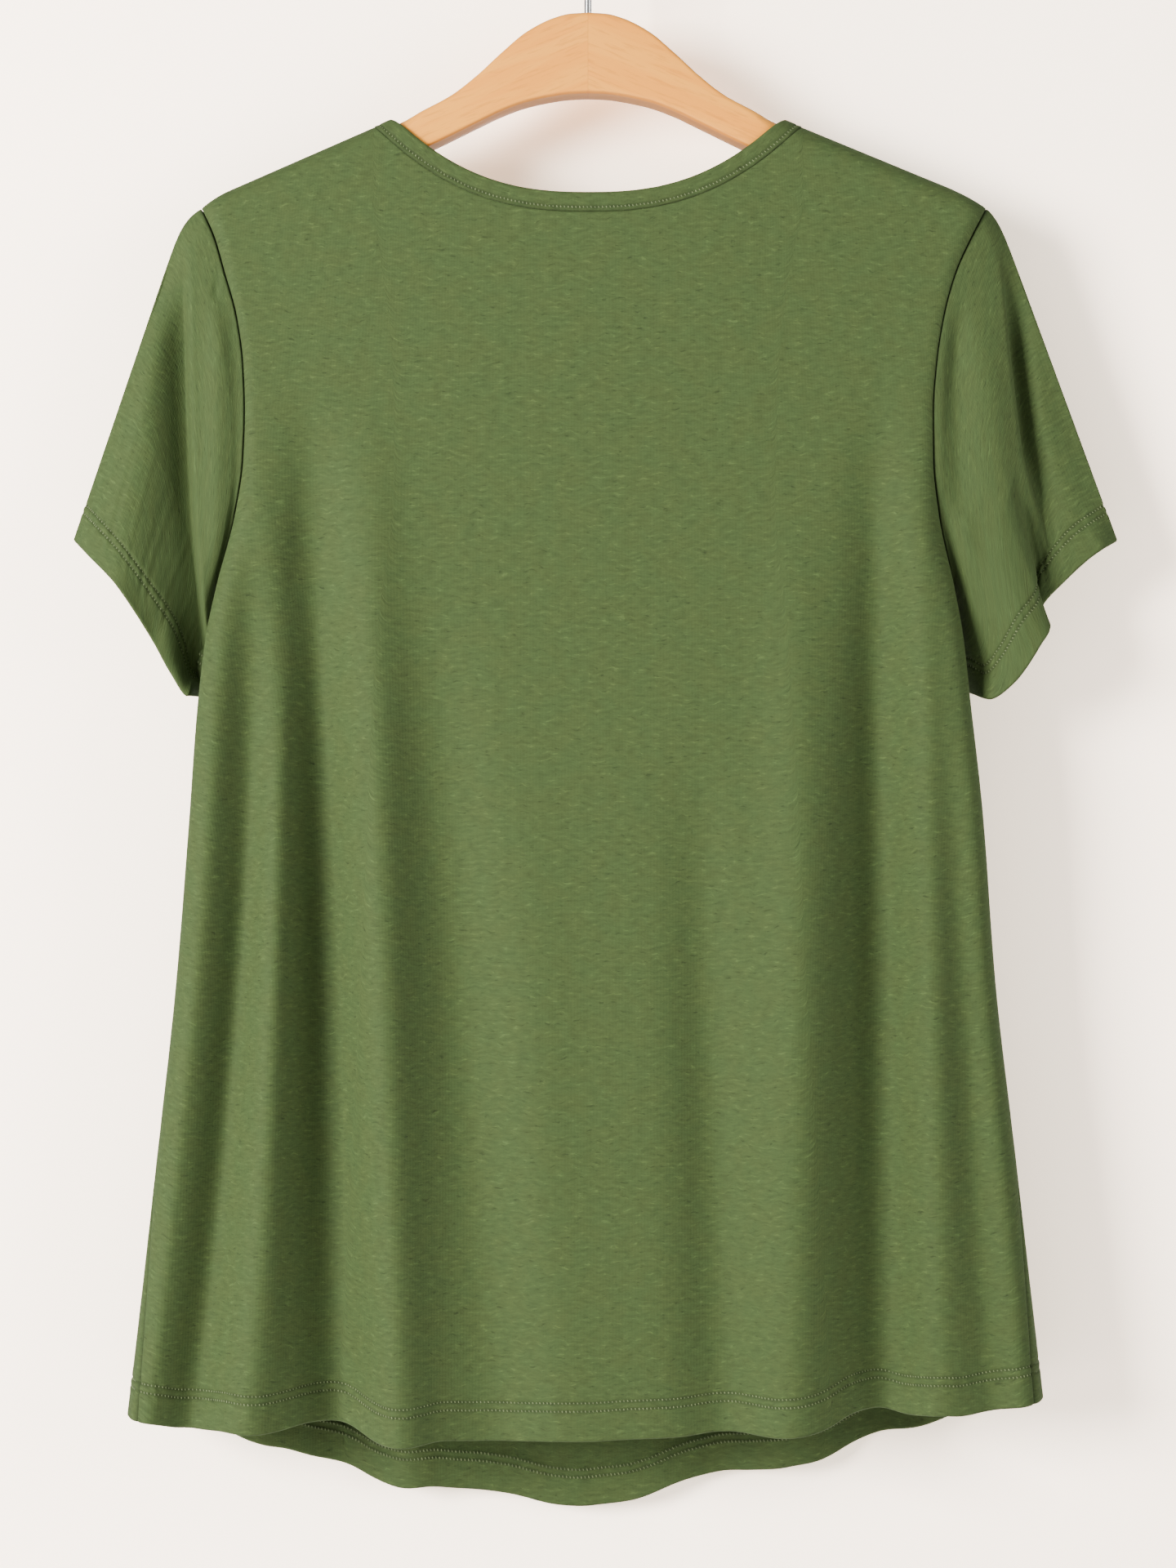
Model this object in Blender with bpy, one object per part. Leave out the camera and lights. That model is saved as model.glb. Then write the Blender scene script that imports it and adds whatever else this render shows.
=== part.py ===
"""An A-line jersey t-shirt on a wooden hanger, as solids in metres with +Z up.

The origin is the inside top of the hook, where a rail or a wall hook carries the hanger. The back of the shirt
faces -Y, +X is to the right as the back is looked at, and every height below is a drop under the origin.
The cloth is one skin over a few named sections. Each cut piece is its own part of that skin, made into a wall.
"""

import math
from collections import namedtuple

import bmesh
import bpy
from mathutils import Vector

MM = 0.001

BACK, FRONT = -1, 1  # the face of the shirt, by the sign of its Y
LEFT, RIGHT = -1, 1  # the hand, by the sign of its X

# Cloth
WALL = 1.2 * MM  # one layer of jersey
HEM_WALL = 1.9 * MM  # two layers, where a hem is turned up inside
BINDING_PROUD = 0.4 * MM  # how far the neck binding stands out from the panels, on both faces
SEAM_TRIM = 0.17 * MM  # each piece stops this far short of a seam
SEAM_GAP = 0.35 * MM  # between a sleeve's edge and the panels under the arm, where it lies on them

# Neck, shoulder and chest
NECK_HALF_WIDTH = 112.5 * MM
NECK_POINT_DROP = 135.5 * MM
NECK_DEPTH = {BACK: 46 * MM, FRONT: 92 * MM}
NECK_ROUNDNESS = {BACK: 2.5, FRONT: 2.3}
BINDING_WIDTH = 10 * MM
SHOULDER_SLOPE = {LEFT: 0.437, RIGHT: 0.412}
SHOULDER_POINT_DROP = 178 * MM
SHOULDER_FALL_START = 188 * MM  # past this the shoulder line falls off the hanger's end to the shoulder point
UNDERARM_DROP = 376 * MM

# Hanger
WOOD_HALF_THICKNESS = 9.2 * MM
WOOD_CLEARANCE = 1.3 * MM  # between the wood and the panels; the thicker binding is nearer
ARM_WRAP = WOOD_HALF_THICKNESS + WOOD_CLEARANCE + WALL  # the cloth's outside from the hanger's middle plane

# Hem
HEM_CENTRE_DROP = {BACK: 819 * MM, FRONT: 866 * MM}
HEM_SIDE_DROP = {LEFT: 811 * MM, RIGHT: 802 * MM}
HEM_ROUNDNESS = {BACK: 2.0, FRONT: 1.6}
HEM_TURN_UP = 18 * MM
HEM_WAVE_WIDTH = 1.3  # how wide a fold's lift of the hem is, as a share of the fold's width
FOLD_FULL_AT = 0.62  # the share of a fold's length where it reaches its whole depth
FRONT_NESTING = 0.55  # the front follows the back's folds by this share
ARMHOLE_OPENING = math.radians(62)
CUFF_TURN_UP = 16 * MM
SLEEVE_LENGTH = 187 * MM

# The edge of the panels: armholes down to the underarm, then the sides.
Side = namedtuple("Side", "drop left right")
SIDES = (
    Side(178 * MM, 203.6 * MM, 209.8 * MM),
    Side(194 * MM, 196.2 * MM, 201.4 * MM),
    Side(213 * MM, 190.6 * MM, 192.8 * MM),
    Side(236 * MM, 184.2 * MM, 186.4 * MM),
    Side(262 * MM, 180.6 * MM, 182.3 * MM),
    Side(286 * MM, 179.7 * MM, 180.6 * MM),
    Side(312 * MM, 180.6 * MM, 180.8 * MM),
    Side(340 * MM, 185.0 * MM, 183.8 * MM),
    Side(376 * MM, 194.4 * MM, 191.6 * MM),
    Side(404 * MM, 200.2 * MM, 196.6 * MM),
    Side(440 * MM, 204.4 * MM, 200.5 * MM),
    Side(498 * MM, 209.0 * MM, 207.2 * MM),
    Side(584 * MM, 216.3 * MM, 214.0 * MM),
    Side(670 * MM, 225.8 * MM, 224.0 * MM),
    Side(756 * MM, 235.4 * MM, 233.8 * MM),
    Side(815 * MM, 242.3 * MM, 240.5 * MM),
)

# How deep the body is from the hanger's plane to each panel, how round its sides are, how far each side is
# drawn towards the back, and where the seam or the middle of the armhole sits on that round: 0 at the outermost
# line, plus towards the back.
Depth = namedtuple("Depth", "drop back front side_round side_shift seam_turn")
DEPTHS = (
    Depth(130 * MM, ARM_WRAP, ARM_WRAP, 12 * MM, 0, 0),
    Depth(200 * MM, ARM_WRAP, ARM_WRAP, 12 * MM, 0, 0),
    Depth(300 * MM, 14 * MM, 14 * MM, 12 * MM, 2 * MM, -10),
    Depth(376 * MM, 15 * MM, 15 * MM, 13 * MM, 7 * MM, -38),
    Depth(440 * MM, 18 * MM, 17 * MM, 14 * MM, 8 * MM, -30),
    Depth(520 * MM, 22 * MM, 21 * MM, 15 * MM, 4 * MM, -16),
    Depth(640 * MM, 26 * MM, 25 * MM, 16 * MM, 0, 0),
    Depth(820 * MM, 30 * MM, 29 * MM, 18 * MM, 0, 34),
)
SIDE_SHIFT_FROM = 0.84  # the share of the flat width past which the body follows its side's shift

# The flutes that the flared body hangs in. Plus stands out towards the back, minus lies in towards the front.
Fold = namedtuple(
    "Fold", "start_drop start_across waist_across hem_across depth start_width hem_width back_lift front_lift"
)
FOLDS = (
    Fold(330 * MM, -178 * MM, -183 * MM, -208 * MM, -15 * MM, 10 * MM, 15 * MM, -4.5 * MM, 0),
    Fold(330 * MM, -161 * MM, -162 * MM, -176 * MM, 8 * MM, 10 * MM, 15 * MM, 0, 0),
    Fold(280 * MM, -145 * MM, -140 * MM, -134 * MM, -19 * MM, 13 * MM, 18 * MM, 2 * MM, 0),
    Fold(280 * MM, -115 * MM, -107 * MM, -98 * MM, 12 * MM, 15 * MM, 17 * MM, -2 * MM, -2 * MM),
    Fold(380 * MM, -82 * MM, -66 * MM, -50 * MM, -8.5 * MM, 16 * MM, 22 * MM, -4.5 * MM, 0),
    Fold(480 * MM, -32 * MM, -30 * MM, -22 * MM, 2.5 * MM, 20 * MM, 24 * MM, -1.5 * MM, -1 * MM),
    Fold(460 * MM, 56 * MM, 64 * MM, 70 * MM, -8.5 * MM, 15 * MM, 19 * MM, 0.5 * MM, 5 * MM),
    Fold(330 * MM, 108 * MM, 109 * MM, 104 * MM, 9 * MM, 16 * MM, 18 * MM, 0, 4 * MM),
    Fold(280 * MM, 152 * MM, 150 * MM, 152 * MM, -18 * MM, 13 * MM, 19 * MM, 6.5 * MM, 3 * MM),
    Fold(300 * MM, 166 * MM, 175 * MM, 179 * MM, 6.5 * MM, 11 * MM, 13 * MM, 3 * MM, 3.5 * MM),
    Fold(330 * MM, 180 * MM, 195 * MM, 212 * MM, -6 * MM, 9 * MM, 12 * MM, 0, 0),
)

# The folds down the near face of each sleeve. Plus is a trough.
SleeveFold = namedtuple("SleeveFold", "start_drop end_drop start_across end_across depth outer_width inner_width")
SLEEVE_FOLDS = {
    LEFT: (
        SleeveFold(190 * MM, 410 * MM, -213 * MM, -208 * MM, 10 * MM, 13 * MM, 7 * MM),
        SleeveFold(200 * MM, 420 * MM, -192 * MM, -195 * MM, -4 * MM, 8 * MM, 8 * MM),
    ),
    RIGHT: (
        SleeveFold(190 * MM, 400 * MM, 217 * MM, 241 * MM, 9 * MM, 8 * MM, 8 * MM),
    ),
}

# The edge of each cuff, from its outermost point down to the underarm seam. Depth is minus towards the back.
Cuff = namedtuple("Cuff", "share across depth drop")
CUFFS = {
    (LEFT, BACK): (
        Cuff(0.00, 271 * MM, 2 * MM, 352 * MM),
        Cuff(0.14, 261 * MM, -13 * MM, 361 * MM),
        Cuff(0.32, 245 * MM, -20 * MM, 377 * MM),
        Cuff(0.50, 234 * MM, -13 * MM, 394 * MM),
        Cuff(0.64, 227 * MM, -6 * MM, 407 * MM),
        Cuff(0.78, 219 * MM, -4 * MM, 422 * MM),
        Cuff(0.90, 210 * MM, -5 * MM, 434 * MM),
        Cuff(1.00, 205 * MM, 10 * MM, 434 * MM),
    ),
    (LEFT, FRONT): (
        Cuff(0.00, 271 * MM, 2 * MM, 352 * MM),
        Cuff(0.16, 262 * MM, 17 * MM, 358 * MM),
        Cuff(0.36, 248 * MM, 24 * MM, 372 * MM),
        Cuff(0.56, 237 * MM, 21 * MM, 389 * MM),
        Cuff(0.76, 225 * MM, 26 * MM, 409 * MM),
        Cuff(0.90, 213 * MM, 23 * MM, 425 * MM),
        Cuff(1.00, 205 * MM, 10 * MM, 434 * MM),
    ),
    (RIGHT, BACK): (
        Cuff(0.00, 279 * MM, 3 * MM, 352 * MM),
        Cuff(0.16, 267 * MM, -6 * MM, 359 * MM),
        Cuff(0.32, 251 * MM, -5 * MM, 373 * MM),
        Cuff(0.44, 238 * MM, -4 * MM, 389 * MM),
        Cuff(0.54, 241 * MM, -16 * MM, 398 * MM),
        Cuff(0.66, 235 * MM, -23 * MM, 408 * MM),
        Cuff(0.82, 221 * MM, -18 * MM, 428 * MM),
        Cuff(0.92, 209 * MM, -7 * MM, 436 * MM),
        Cuff(1.00, 201 * MM, 10 * MM, 432 * MM),
    ),
    (RIGHT, FRONT): (
        Cuff(0.00, 279 * MM, 3 * MM, 352 * MM),
        Cuff(0.16, 270 * MM, 18 * MM, 356 * MM),
        Cuff(0.36, 255 * MM, 25 * MM, 369 * MM),
        Cuff(0.56, 240 * MM, 22 * MM, 387 * MM),
        Cuff(0.76, 226 * MM, 27 * MM, 408 * MM),
        Cuff(0.90, 211 * MM, 23 * MM, 424 * MM),
        Cuff(1.00, 201 * MM, 10 * MM, 432 * MM),
    ),
}
SLEEVE_BULGE = {LEFT: 8 * MM, RIGHT: 4.5 * MM}  # how far the sleeve's cap rounds out below the shoulder
UNDERARM_LIFT = 2.2 * MM  # how far the sleeve stands off the body's side just below its seam
SLEEVE_BULGE_START = 0.035  # the share of the sleeve's length in which it does so

# How the grids are divided
YOKE_ROWS = (0, 0.005, 0.015, 0.033, 0.063, 0.11, 0.175, 0.26, 0.37, 0.50, 0.64, 0.78, 0.89, 0.96, 0.99, 1)
SKIRT_ROWS = (0.035, 0.09, 0.17, 0.27, 0.38, 0.50, 0.62, 0.75, 0.88, 1)
SHOULDER_COLUMNS = 10
NECK_COLUMNS = (0, 0.16, 0.31, 0.45, 0.59, 0.71, 0.81, 0.89, 0.95, 0.985, 0.9972, 1)
END_COLUMNS = 4
SLEEVE_ROWS = (0, 0.03, 0.08, 0.17, 0.31, 0.46, 0.61, 0.76)
BINDING_ROWS = 2

# The wooden hanger: its top and bottom line, and how round its upper edges are.
Wood = namedtuple("Wood", "across top bottom edge_round")
ARM_TOP_DROP = NECK_POINT_DROP + WALL + WOOD_CLEARANCE
WOOD_ARM = (
    Wood(0 * MM, 76.4 * MM, 119 * MM, 3 * MM),
    Wood(9 * MM, 76.9 * MM, 119.4 * MM, 3 * MM),
    Wood(18 * MM, 79.2 * MM, 120.6 * MM, 3 * MM),
    Wood(32 * MM, 86.3 * MM, 123.6 * MM, 3 * MM),
    Wood(45 * MM, 97.1 * MM, 128.3 * MM, 3 * MM),
    Wood(58 * MM, 109.1 * MM, 134.5 * MM, 3 * MM),
    Wood(72 * MM, 119.9 * MM, 141.4 * MM, 3 * MM),
    Wood(86 * MM, 127.2 * MM, 148.1 * MM, 4 * MM),
    Wood(98 * MM, 132.9 * MM, 153.4 * MM, 9 * MM),
    Wood(112 * MM, 138.9 * MM, 158.8 * MM, 9 * MM),
    Wood(150 * MM, 155 * MM, 173.2 * MM, 9 * MM),
    Wood(180 * MM, 168.2 * MM, 184.6 * MM, 8 * MM),
    Wood(190 * MM, 172.6 * MM, 188.4 * MM, 8 * MM),
)
WOOD_STATIONS = 17
WOOD_END = 190 * MM
WOOD_UNDER_ROUND = 2.5 * MM
WOOD_ARC_STEPS = 3

# The hook
WIRE_RADIUS = 1.9 * MM
HOOK_INSIDE_RADIUS = 19 * MM
HOOK_TIP_ANGLE = math.radians(205)
SHANK_DEPTH_IN_WOOD = 14 * MM
SHANK_HOLE_CLEARANCE = 0.3 * MM
WIRE_SIDES_SHARE = 2  # bevel resolution
HOOK_STEPS = 30


def read(table, key, column):
    """One column of a table between its rows, on a smooth curve through them that overshoots none of them.

    key is a place in the table's first column.
    """
    keys = [row[0] for row in table]
    values = [getattr(row, column) for row in table]
    if key <= keys[0]:
        return values[0]
    if key >= keys[-1]:
        return values[-1]
    i = max(n for n, k in enumerate(keys) if k <= key)

    def chord(n):
        return (values[n + 1] - values[n]) / (keys[n + 1] - keys[n])

    def slope(n):
        if n == 0 or n == len(keys) - 1:
            return chord(min(n, len(keys) - 2))
        before, after = chord(n - 1), chord(n)
        return 2 * before * after / (before + after) if before * after > 0 else 0.0

    span = keys[i + 1] - keys[i]
    t = (key - keys[i]) / span
    return (
        (2 * t**3 - 3 * t**2 + 1) * values[i]
        + (t**3 - 2 * t**2 + t) * span * slope(i)
        + (3 * t**2 - 2 * t**3) * values[i + 1]
        + (t**3 - t**2) * span * slope(i + 1)
    )


def mix(a, b, share):
    return a + (b - a) * share


def clamp(value, low=0.0, high=1.0):
    return max(low, min(high, value))


def arm_line(across):
    """The drop of the cloth's outside over the hanger's arm, carried on towards the middle."""
    hand = RIGHT if across > 0 else LEFT
    shoulder_point = SIDES[0].left if hand == LEFT else SIDES[0].right
    straight = NECK_POINT_DROP + SHOULDER_SLOPE[hand] * (shoulder_point - NECK_HALF_WIDTH)
    far = max(0.0, abs(across) - SHOULDER_FALL_START) / (shoulder_point - SHOULDER_FALL_START)
    line = NECK_POINT_DROP + SHOULDER_SLOPE[hand] * (abs(across) - NECK_HALF_WIDTH)
    return line + (SHOULDER_POINT_DROP - straight) * far * far


def top_drop(face, across):
    """The drop of a panel's top edge: the neckline in the middle, and the shoulder seam past it."""
    if abs(across) >= NECK_HALF_WIDTH:
        return arm_line(across)
    rise = (abs(across) / NECK_HALF_WIDTH) ** NECK_ROUNDNESS[face]
    return NECK_POINT_DROP + NECK_DEPTH[face] * (1 - rise)


def fold_depth(across, drop):
    """How far the folds push the cloth towards the back at one place."""
    total = 0.0
    for fold in FOLDS:
        share = (drop - fold.start_drop) / (HEM_CENTRE_DROP[BACK] - fold.start_drop)
        if share <= 0:
            continue
        bend = fold.waist_across - (fold.start_across + fold.hem_across) / 2
        middle = mix(fold.start_across, fold.hem_across, share) + 4 * bend * clamp(share * (1 - share))
        width = mix(fold.start_width, fold.hem_width, share)
        strength = math.sin(math.pi / 2 * clamp(share / FOLD_FULL_AT))
        total += fold.depth * strength * math.exp(-(((across - middle) / width) ** 2))
    return total


def panel_depth(face, across, drop):
    """How far a panel lies from the hanger's plane."""
    under_arm_line = clamp((drop - arm_line(across)) / ARM_WRAP)
    wrap = math.sqrt(1 - (1 - under_arm_line) ** 2)
    if face == BACK:
        return wrap * (read(DEPTHS, drop, "back") + fold_depth(across, drop))
    return wrap * (read(DEPTHS, drop, "front") - FRONT_NESTING * fold_depth(across, drop))


def armhole_turn(drop):
    """How far round the body's side an armhole edge lies from the outermost line."""
    share = clamp((drop - SHOULDER_POINT_DROP) / (UNDERARM_DROP - SHOULDER_POINT_DROP))
    return ARMHOLE_OPENING * math.sin(math.pi * share) ** 0.3 if 0 < share < 1 else 0.0


def edge_turn(face, drop):
    """The angle round the body's side, plus towards the back, where a panel's edge lies."""
    return math.radians(read(DEPTHS, drop, "seam_turn")) - face * armhole_turn(drop)


def half_width(hand, drop):
    """From the middle to the outermost line of the body's rounded side."""
    edge = read(SIDES, drop, "left" if hand == LEFT else "right")
    if drop >= UNDERARM_DROP:
        return edge
    return edge + read(DEPTHS, drop, "side_round") * (1 - math.cos(max(0.0, edge_turn(BACK, drop))))


# A column of a panel's grid: flat is its share of the width between the rounded sides, and round its share of
# the way round a side, from the panel's edge to where the flat begins.
Column = namedtuple("Column", "hand flat round")


def columns():
    """The columns of a panel from left to right, with one on each neck point."""
    flats = []
    for hand in (LEFT, RIGHT):
        flat_width = half_width(hand, SHOULDER_POINT_DROP) - read(DEPTHS, SHOULDER_POINT_DROP, "side_round")
        neck = NECK_HALF_WIDTH / flat_width
        inner = [neck * share for share in NECK_COLUMNS]
        outer = [mix(neck, 1, n / SHOULDER_COLUMNS) for n in range(1, SHOULDER_COLUMNS + 1)]
        flats.append([Column(hand, share, 1) for share in inner + outer])
    ends = [[Column(hand, 1, n / END_COLUMNS) for n in range(END_COLUMNS)] for hand in (LEFT, RIGHT)]
    return ends[0] + flats[0][::-1] + flats[1][1:] + ends[1][::-1]


def across_and_depth(face, column, drop):
    """Where a column is at one height, as (X, Y)."""
    side_round = read(DEPTHS, drop, "side_round")
    turn = mix(edge_turn(face, drop), -face * math.pi / 2, column.round)
    flat_width = half_width(column.hand, drop) - side_round
    across = column.hand * (flat_width * column.flat + side_round * math.cos(turn) * (column.round < 1))
    beside = clamp((column.flat - SIDE_SHIFT_FROM) / (1 - SIDE_SHIFT_FROM))
    shift = BACK * read(DEPTHS, drop, "side_shift") * beside * beside * (3 - 2 * beside)
    if column.round == 1:
        return across, shift + face * panel_depth(face, across, drop)
    side = BACK if turn > 0 else FRONT
    return across, shift + side * panel_depth(side, across, drop) * abs(math.sin(turn))


def hem_drop(face, column):
    """The drop of the hem under a column."""
    side = HEM_SIDE_DROP[column.hand]
    across, _ = across_and_depth(face, column, side)
    seam, _ = across_and_depth(face, Column(column.hand, 1, 0), side)
    middle = 1 - clamp(across / seam) ** HEM_ROUNDNESS[face]
    plain = mix(side, HEM_CENTRE_DROP[face], middle)
    return plain - hem_lift(face, across) * clamp(middle * 6)


def hem_lift(face, across):
    """How far the folds lift a hem's edge at one place."""
    total = 0.0
    for fold in FOLDS:
        lift = fold.back_lift if face == BACK else fold.front_lift
        total += lift * math.exp(-(((across - fold.hem_across) / (HEM_WAVE_WIDTH * fold.hem_width)) ** 2))
    return total


def point(face, column, drop):
    across, depth = across_and_depth(face, column, drop)
    return Vector((across, depth, -drop))


def panel_grid(face):
    """A panel's skin: rows from its top edge through the chest line to the hem, the last two as the turned hem."""
    tops = []
    for column in columns():
        across, _ = across_and_depth(face, column, SHOULDER_POINT_DROP)
        tops.append(top_drop(face, across))
    rows = [
        [point(face, c, mix(top, UNDERARM_DROP, share)) for c, top in zip(columns(), tops)]
        for share in YOKE_ROWS
    ]
    for share in SKIRT_ROWS:
        row = []
        for c in columns():
            turn_up = hem_drop(face, c) - HEM_TURN_UP
            row.append(point(face, c, mix(UNDERARM_DROP, turn_up, share)))
        rows.append(row)
    rows.append([point(face, c, hem_drop(face, c) - HEM_TURN_UP + 1.5 * MM) for c in columns()])
    rows.append([point(face, c, hem_drop(face, c)) for c in columns()])
    return rows


def sleeve_dent(hand, place):
    """How far the folds push a sleeve's near face in at one place."""
    total = 0.0
    for fold in SLEEVE_FOLDS[hand]:
        share = (-place.z - fold.start_drop) / (fold.end_drop - fold.start_drop)
        middle = mix(fold.start_across, fold.end_across, share)
        grown = clamp(share / 0.3)
        strength = grown * grown * (3 - 2 * grown)
        width = fold.outer_width if (place.x - middle) * hand > 0 else fold.inner_width
        total += fold.depth * strength * math.exp(-(((place.x - middle) / width) ** 2))
    return total


def sleeve_grid(hand, panels):
    """A sleeve's skin: rings from the armhole edges of both panels to the cuff, the last two as the turned cuff."""
    edge = 0 if hand == LEFT else -1
    last = len(YOKE_ROWS) - 1
    around = [(BACK, n) for n in range(last + 1)] + [(FRONT, n) for n in range(last - 1, 0, -1)]
    turn_up = 1 - CUFF_TURN_UP / SLEEVE_LENGTH
    shares = [*SLEEVE_ROWS, turn_up, turn_up + 0.01, 1]
    rings = []
    for share in shares:
        ring = []
        for face, n in around:
            armhole = panels[face][n][edge]
            cuff_table = CUFFS[hand, face]
            round_share = n / last
            cuff = Vector((
                hand * read(cuff_table, round_share, "across"),
                read(cuff_table, round_share, "depth"),
                -read(cuff_table, round_share, "drop"),
            ))
            rise = (1 - math.exp(-share / SLEEVE_BULGE_START)) * (1 - share)
            outward = SLEEVE_BULGE[hand] * rise * (1 - round_share) ** 2
            push = Vector((hand * outward, 0, 0))
            low = clamp((round_share - 0.6) / 0.35)
            lift = SEAM_GAP + (UNDERARM_LIFT - SEAM_GAP) * (1 - math.exp(-share / 0.03)) * (1 - share)
            push += Vector((hand, 0.7, 0)) * (lift * low)
            place = armhole.lerp(cuff, share) + push
            if face == BACK and 0 < n < last:
                place.y += sleeve_dent(hand, place) * math.sin(math.pi * round_share) ** 0.35 * clamp(share / 0.12)
            ring.append(place)
        rings.append(ring)
    return rings


def neck_ring(panels):
    """The points of the necklines as one ring: the back from left to right, then the front from right to left."""
    first = END_COLUMNS + SHOULDER_COLUMNS
    last = first + 2 * (len(NECK_COLUMNS) - 1)
    back = panels[BACK][0][first : last + 1]
    front = panels[FRONT][0][first : last + 1]
    return back + front[-2:0:-1]


def on_arm(place):
    """Moves a point onto the skin over the hanger's arm, or onto the skin that hangs from it."""
    middle = arm_line(place.x) + ARM_WRAP
    if -place.z >= middle:
        return Vector((place.x, math.copysign(ARM_WRAP, place.y), place.z))
    ray = Vector((0, place.y, place.z + middle)).normalized() * ARM_WRAP
    return Vector((place.x, ray.y, ray.z - middle))


def binding_grid(panels, normals):
    """The neck binding's skin: it carries the panels' surface on past the neckline by its own width."""
    ring = neck_ring(panels)
    rows = [list(ring)]
    steps = BINDING_ROWS * 3
    headings = []
    for n, place in enumerate(ring):
        along = ring[(n + 1) % len(ring)] - ring[n - 1]
        headings.append(along.cross(-normals[key_of(place)]).normalized())
    places = list(ring)
    for step in range(1, steps + 1):
        moved = [on_arm(place + heading * (BINDING_WIDTH / steps)) for place, heading in zip(places, headings)]
        headings = [(new - old).normalized() for new, old in zip(moved, places)]
        places = moved
        if step % 3 == 0:
            rows.append(places)
    return rows


def key_of(place):
    return tuple(round(value / (0.02 * MM)) for value in place)


def skin_normals(grids):
    """The outward direction at every point of the skin, where pieces that meet at a seam share theirs."""
    total = {}
    for rows, closed in grids:
        for upper, lower in zip(rows, rows[1:]):
            for n in range(len(upper) - (0 if closed else 1)):
                m = (n + 1) % len(upper)
                quad = (upper[n], lower[n], lower[m], upper[m])
                normal = (quad[2] - quad[0]).cross(quad[3] - quad[1])
                for corner in quad:
                    total[key_of(corner)] = total.get(key_of(corner), Vector()) + normal
    return {key: normal.normalized() for key, normal in total.items()}


def trimmed(rows, closed, hem):
    """The grid with its seam edges drawn in by SEAM_TRIM. hem says that the last row is a free edge."""
    new = [list(row) for row in rows]

    def draw_in(i, j, towards):
        step = towards - rows[i][j]
        new[i][j] = new[i][j] + step.normalized() * SEAM_TRIM

    for j in range(len(rows[0])):
        draw_in(0, j, rows[1][j])
        if not hem:
            draw_in(len(rows) - 1, j, rows[-2][j])
    if not closed:
        for i in range(len(rows)):
            draw_in(i, 0, rows[i][1])
            draw_in(i, len(rows[i]) - 1, rows[i][-2])
    return new


def wall(name, material, rows, closed, normals, thickness, proud=0.0):
    """Makes one piece of cloth: its skin outside, and the same skin moved in by each row's thickness."""
    outside = trimmed(rows, closed, hem=True)
    mesh = bmesh.new()
    layers = []
    for depth_of in (lambda i: -proud, thickness):
        layers.append([
            [mesh.verts.new(place - normals[key_of(old)] * depth_of(i)) for place, old in zip(row, old_row)]
            for i, (row, old_row) in enumerate(zip(outside, rows))
        ])
    outer, inner = layers
    count = len(rows[0])
    steps = range(count if closed else count - 1)
    for i in range(len(rows) - 1):
        for n in steps:
            m = (n + 1) % count
            mesh.faces.new((outer[i][n], outer[i + 1][n], outer[i + 1][m], outer[i][m]))
            mesh.faces.new((inner[i][m], inner[i + 1][m], inner[i + 1][n], inner[i][n]))
        if not closed:
            mesh.faces.new((outer[i][0], inner[i][0], inner[i + 1][0], outer[i + 1][0]))
            mesh.faces.new((outer[i + 1][-1], inner[i + 1][-1], inner[i][-1], outer[i][-1]))
    for n in steps:
        m = (n + 1) % count
        mesh.faces.new((outer[0][m], inner[0][m], inner[0][n], outer[0][n]))
        mesh.faces.new((outer[-1][n], inner[-1][n], inner[-1][m], outer[-1][m]))
    return finished(name, material, mesh)


def finished(name, material, mesh, sharp_angle=50):
    """Puts a closed mesh in the scene as one named object with its normals outward."""
    bmesh.ops.recalc_face_normals(mesh, faces=mesh.faces)
    if mesh.calc_volume(signed=True) < 0:
        bmesh.ops.reverse_faces(mesh, faces=mesh.faces)
    data = bpy.data.meshes.new(name)
    mesh.to_mesh(data)
    mesh.free()
    data.shade_smooth()
    data.set_sharp_from_angle(angle=math.radians(sharp_angle))
    data.materials.append(material)
    piece = bpy.data.objects.new(name, data)
    bpy.context.scene.collection.objects.link(piece)
    return piece


def material(name, colour, roughness, metallic=0.0):
    made = bpy.data.materials.new(name)
    made.use_nodes = True
    shader = made.node_tree.nodes["Principled BSDF"]
    shader.inputs["Base Color"].default_value = (*colour, 1)
    shader.inputs["Roughness"].default_value = roughness
    shader.inputs["Metallic"].default_value = metallic
    made.diffuse_color = (*colour, 1)
    return made


def panel_wall(rows):
    """The wall of a panel at each row: doubled below the hem's stitching."""
    return lambda i: HEM_WALL if i >= len(rows) - 2 else WALL


def make_cloth():
    jersey = material("jersey", (0.13, 0.21, 0.07), 0.85)
    panels = {face: panel_grid(face) for face in (BACK, FRONT)}
    sleeves = {hand: sleeve_grid(hand, panels) for hand in (LEFT, RIGHT)}
    grids = [(panels[BACK], False), ([row[::-1] for row in panels[FRONT]], False)]
    grids += [(sleeves[LEFT], True), ([ring[::-1] for ring in sleeves[RIGHT]], True)]
    binding = binding_grid(panels, skin_normals(grids))
    grids += [(binding[::-1], True)]
    normals = skin_normals(grids)
    wall("back_panel", jersey, panels[BACK], False, normals, panel_wall(panels[BACK]))
    wall("front_panel", jersey, panels[FRONT], False, normals, panel_wall(panels[FRONT]))
    for hand, name in ((LEFT, "sleeve_left"), (RIGHT, "sleeve_right")):
        wall(name, jersey, sleeves[hand], True, normals, panel_wall(sleeves[hand]))
    wall("neck_binding", jersey, binding, True, normals, lambda i: WALL + BINDING_PROUD, BINDING_PROUD)


def wood_row(across):
    """The hanger's section at a distance from its middle, past the last row as its straight arm."""
    return Wood(across, *(read(WOOD_ARM, across, column) for column in ("top", "bottom", "edge_round")))


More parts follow.
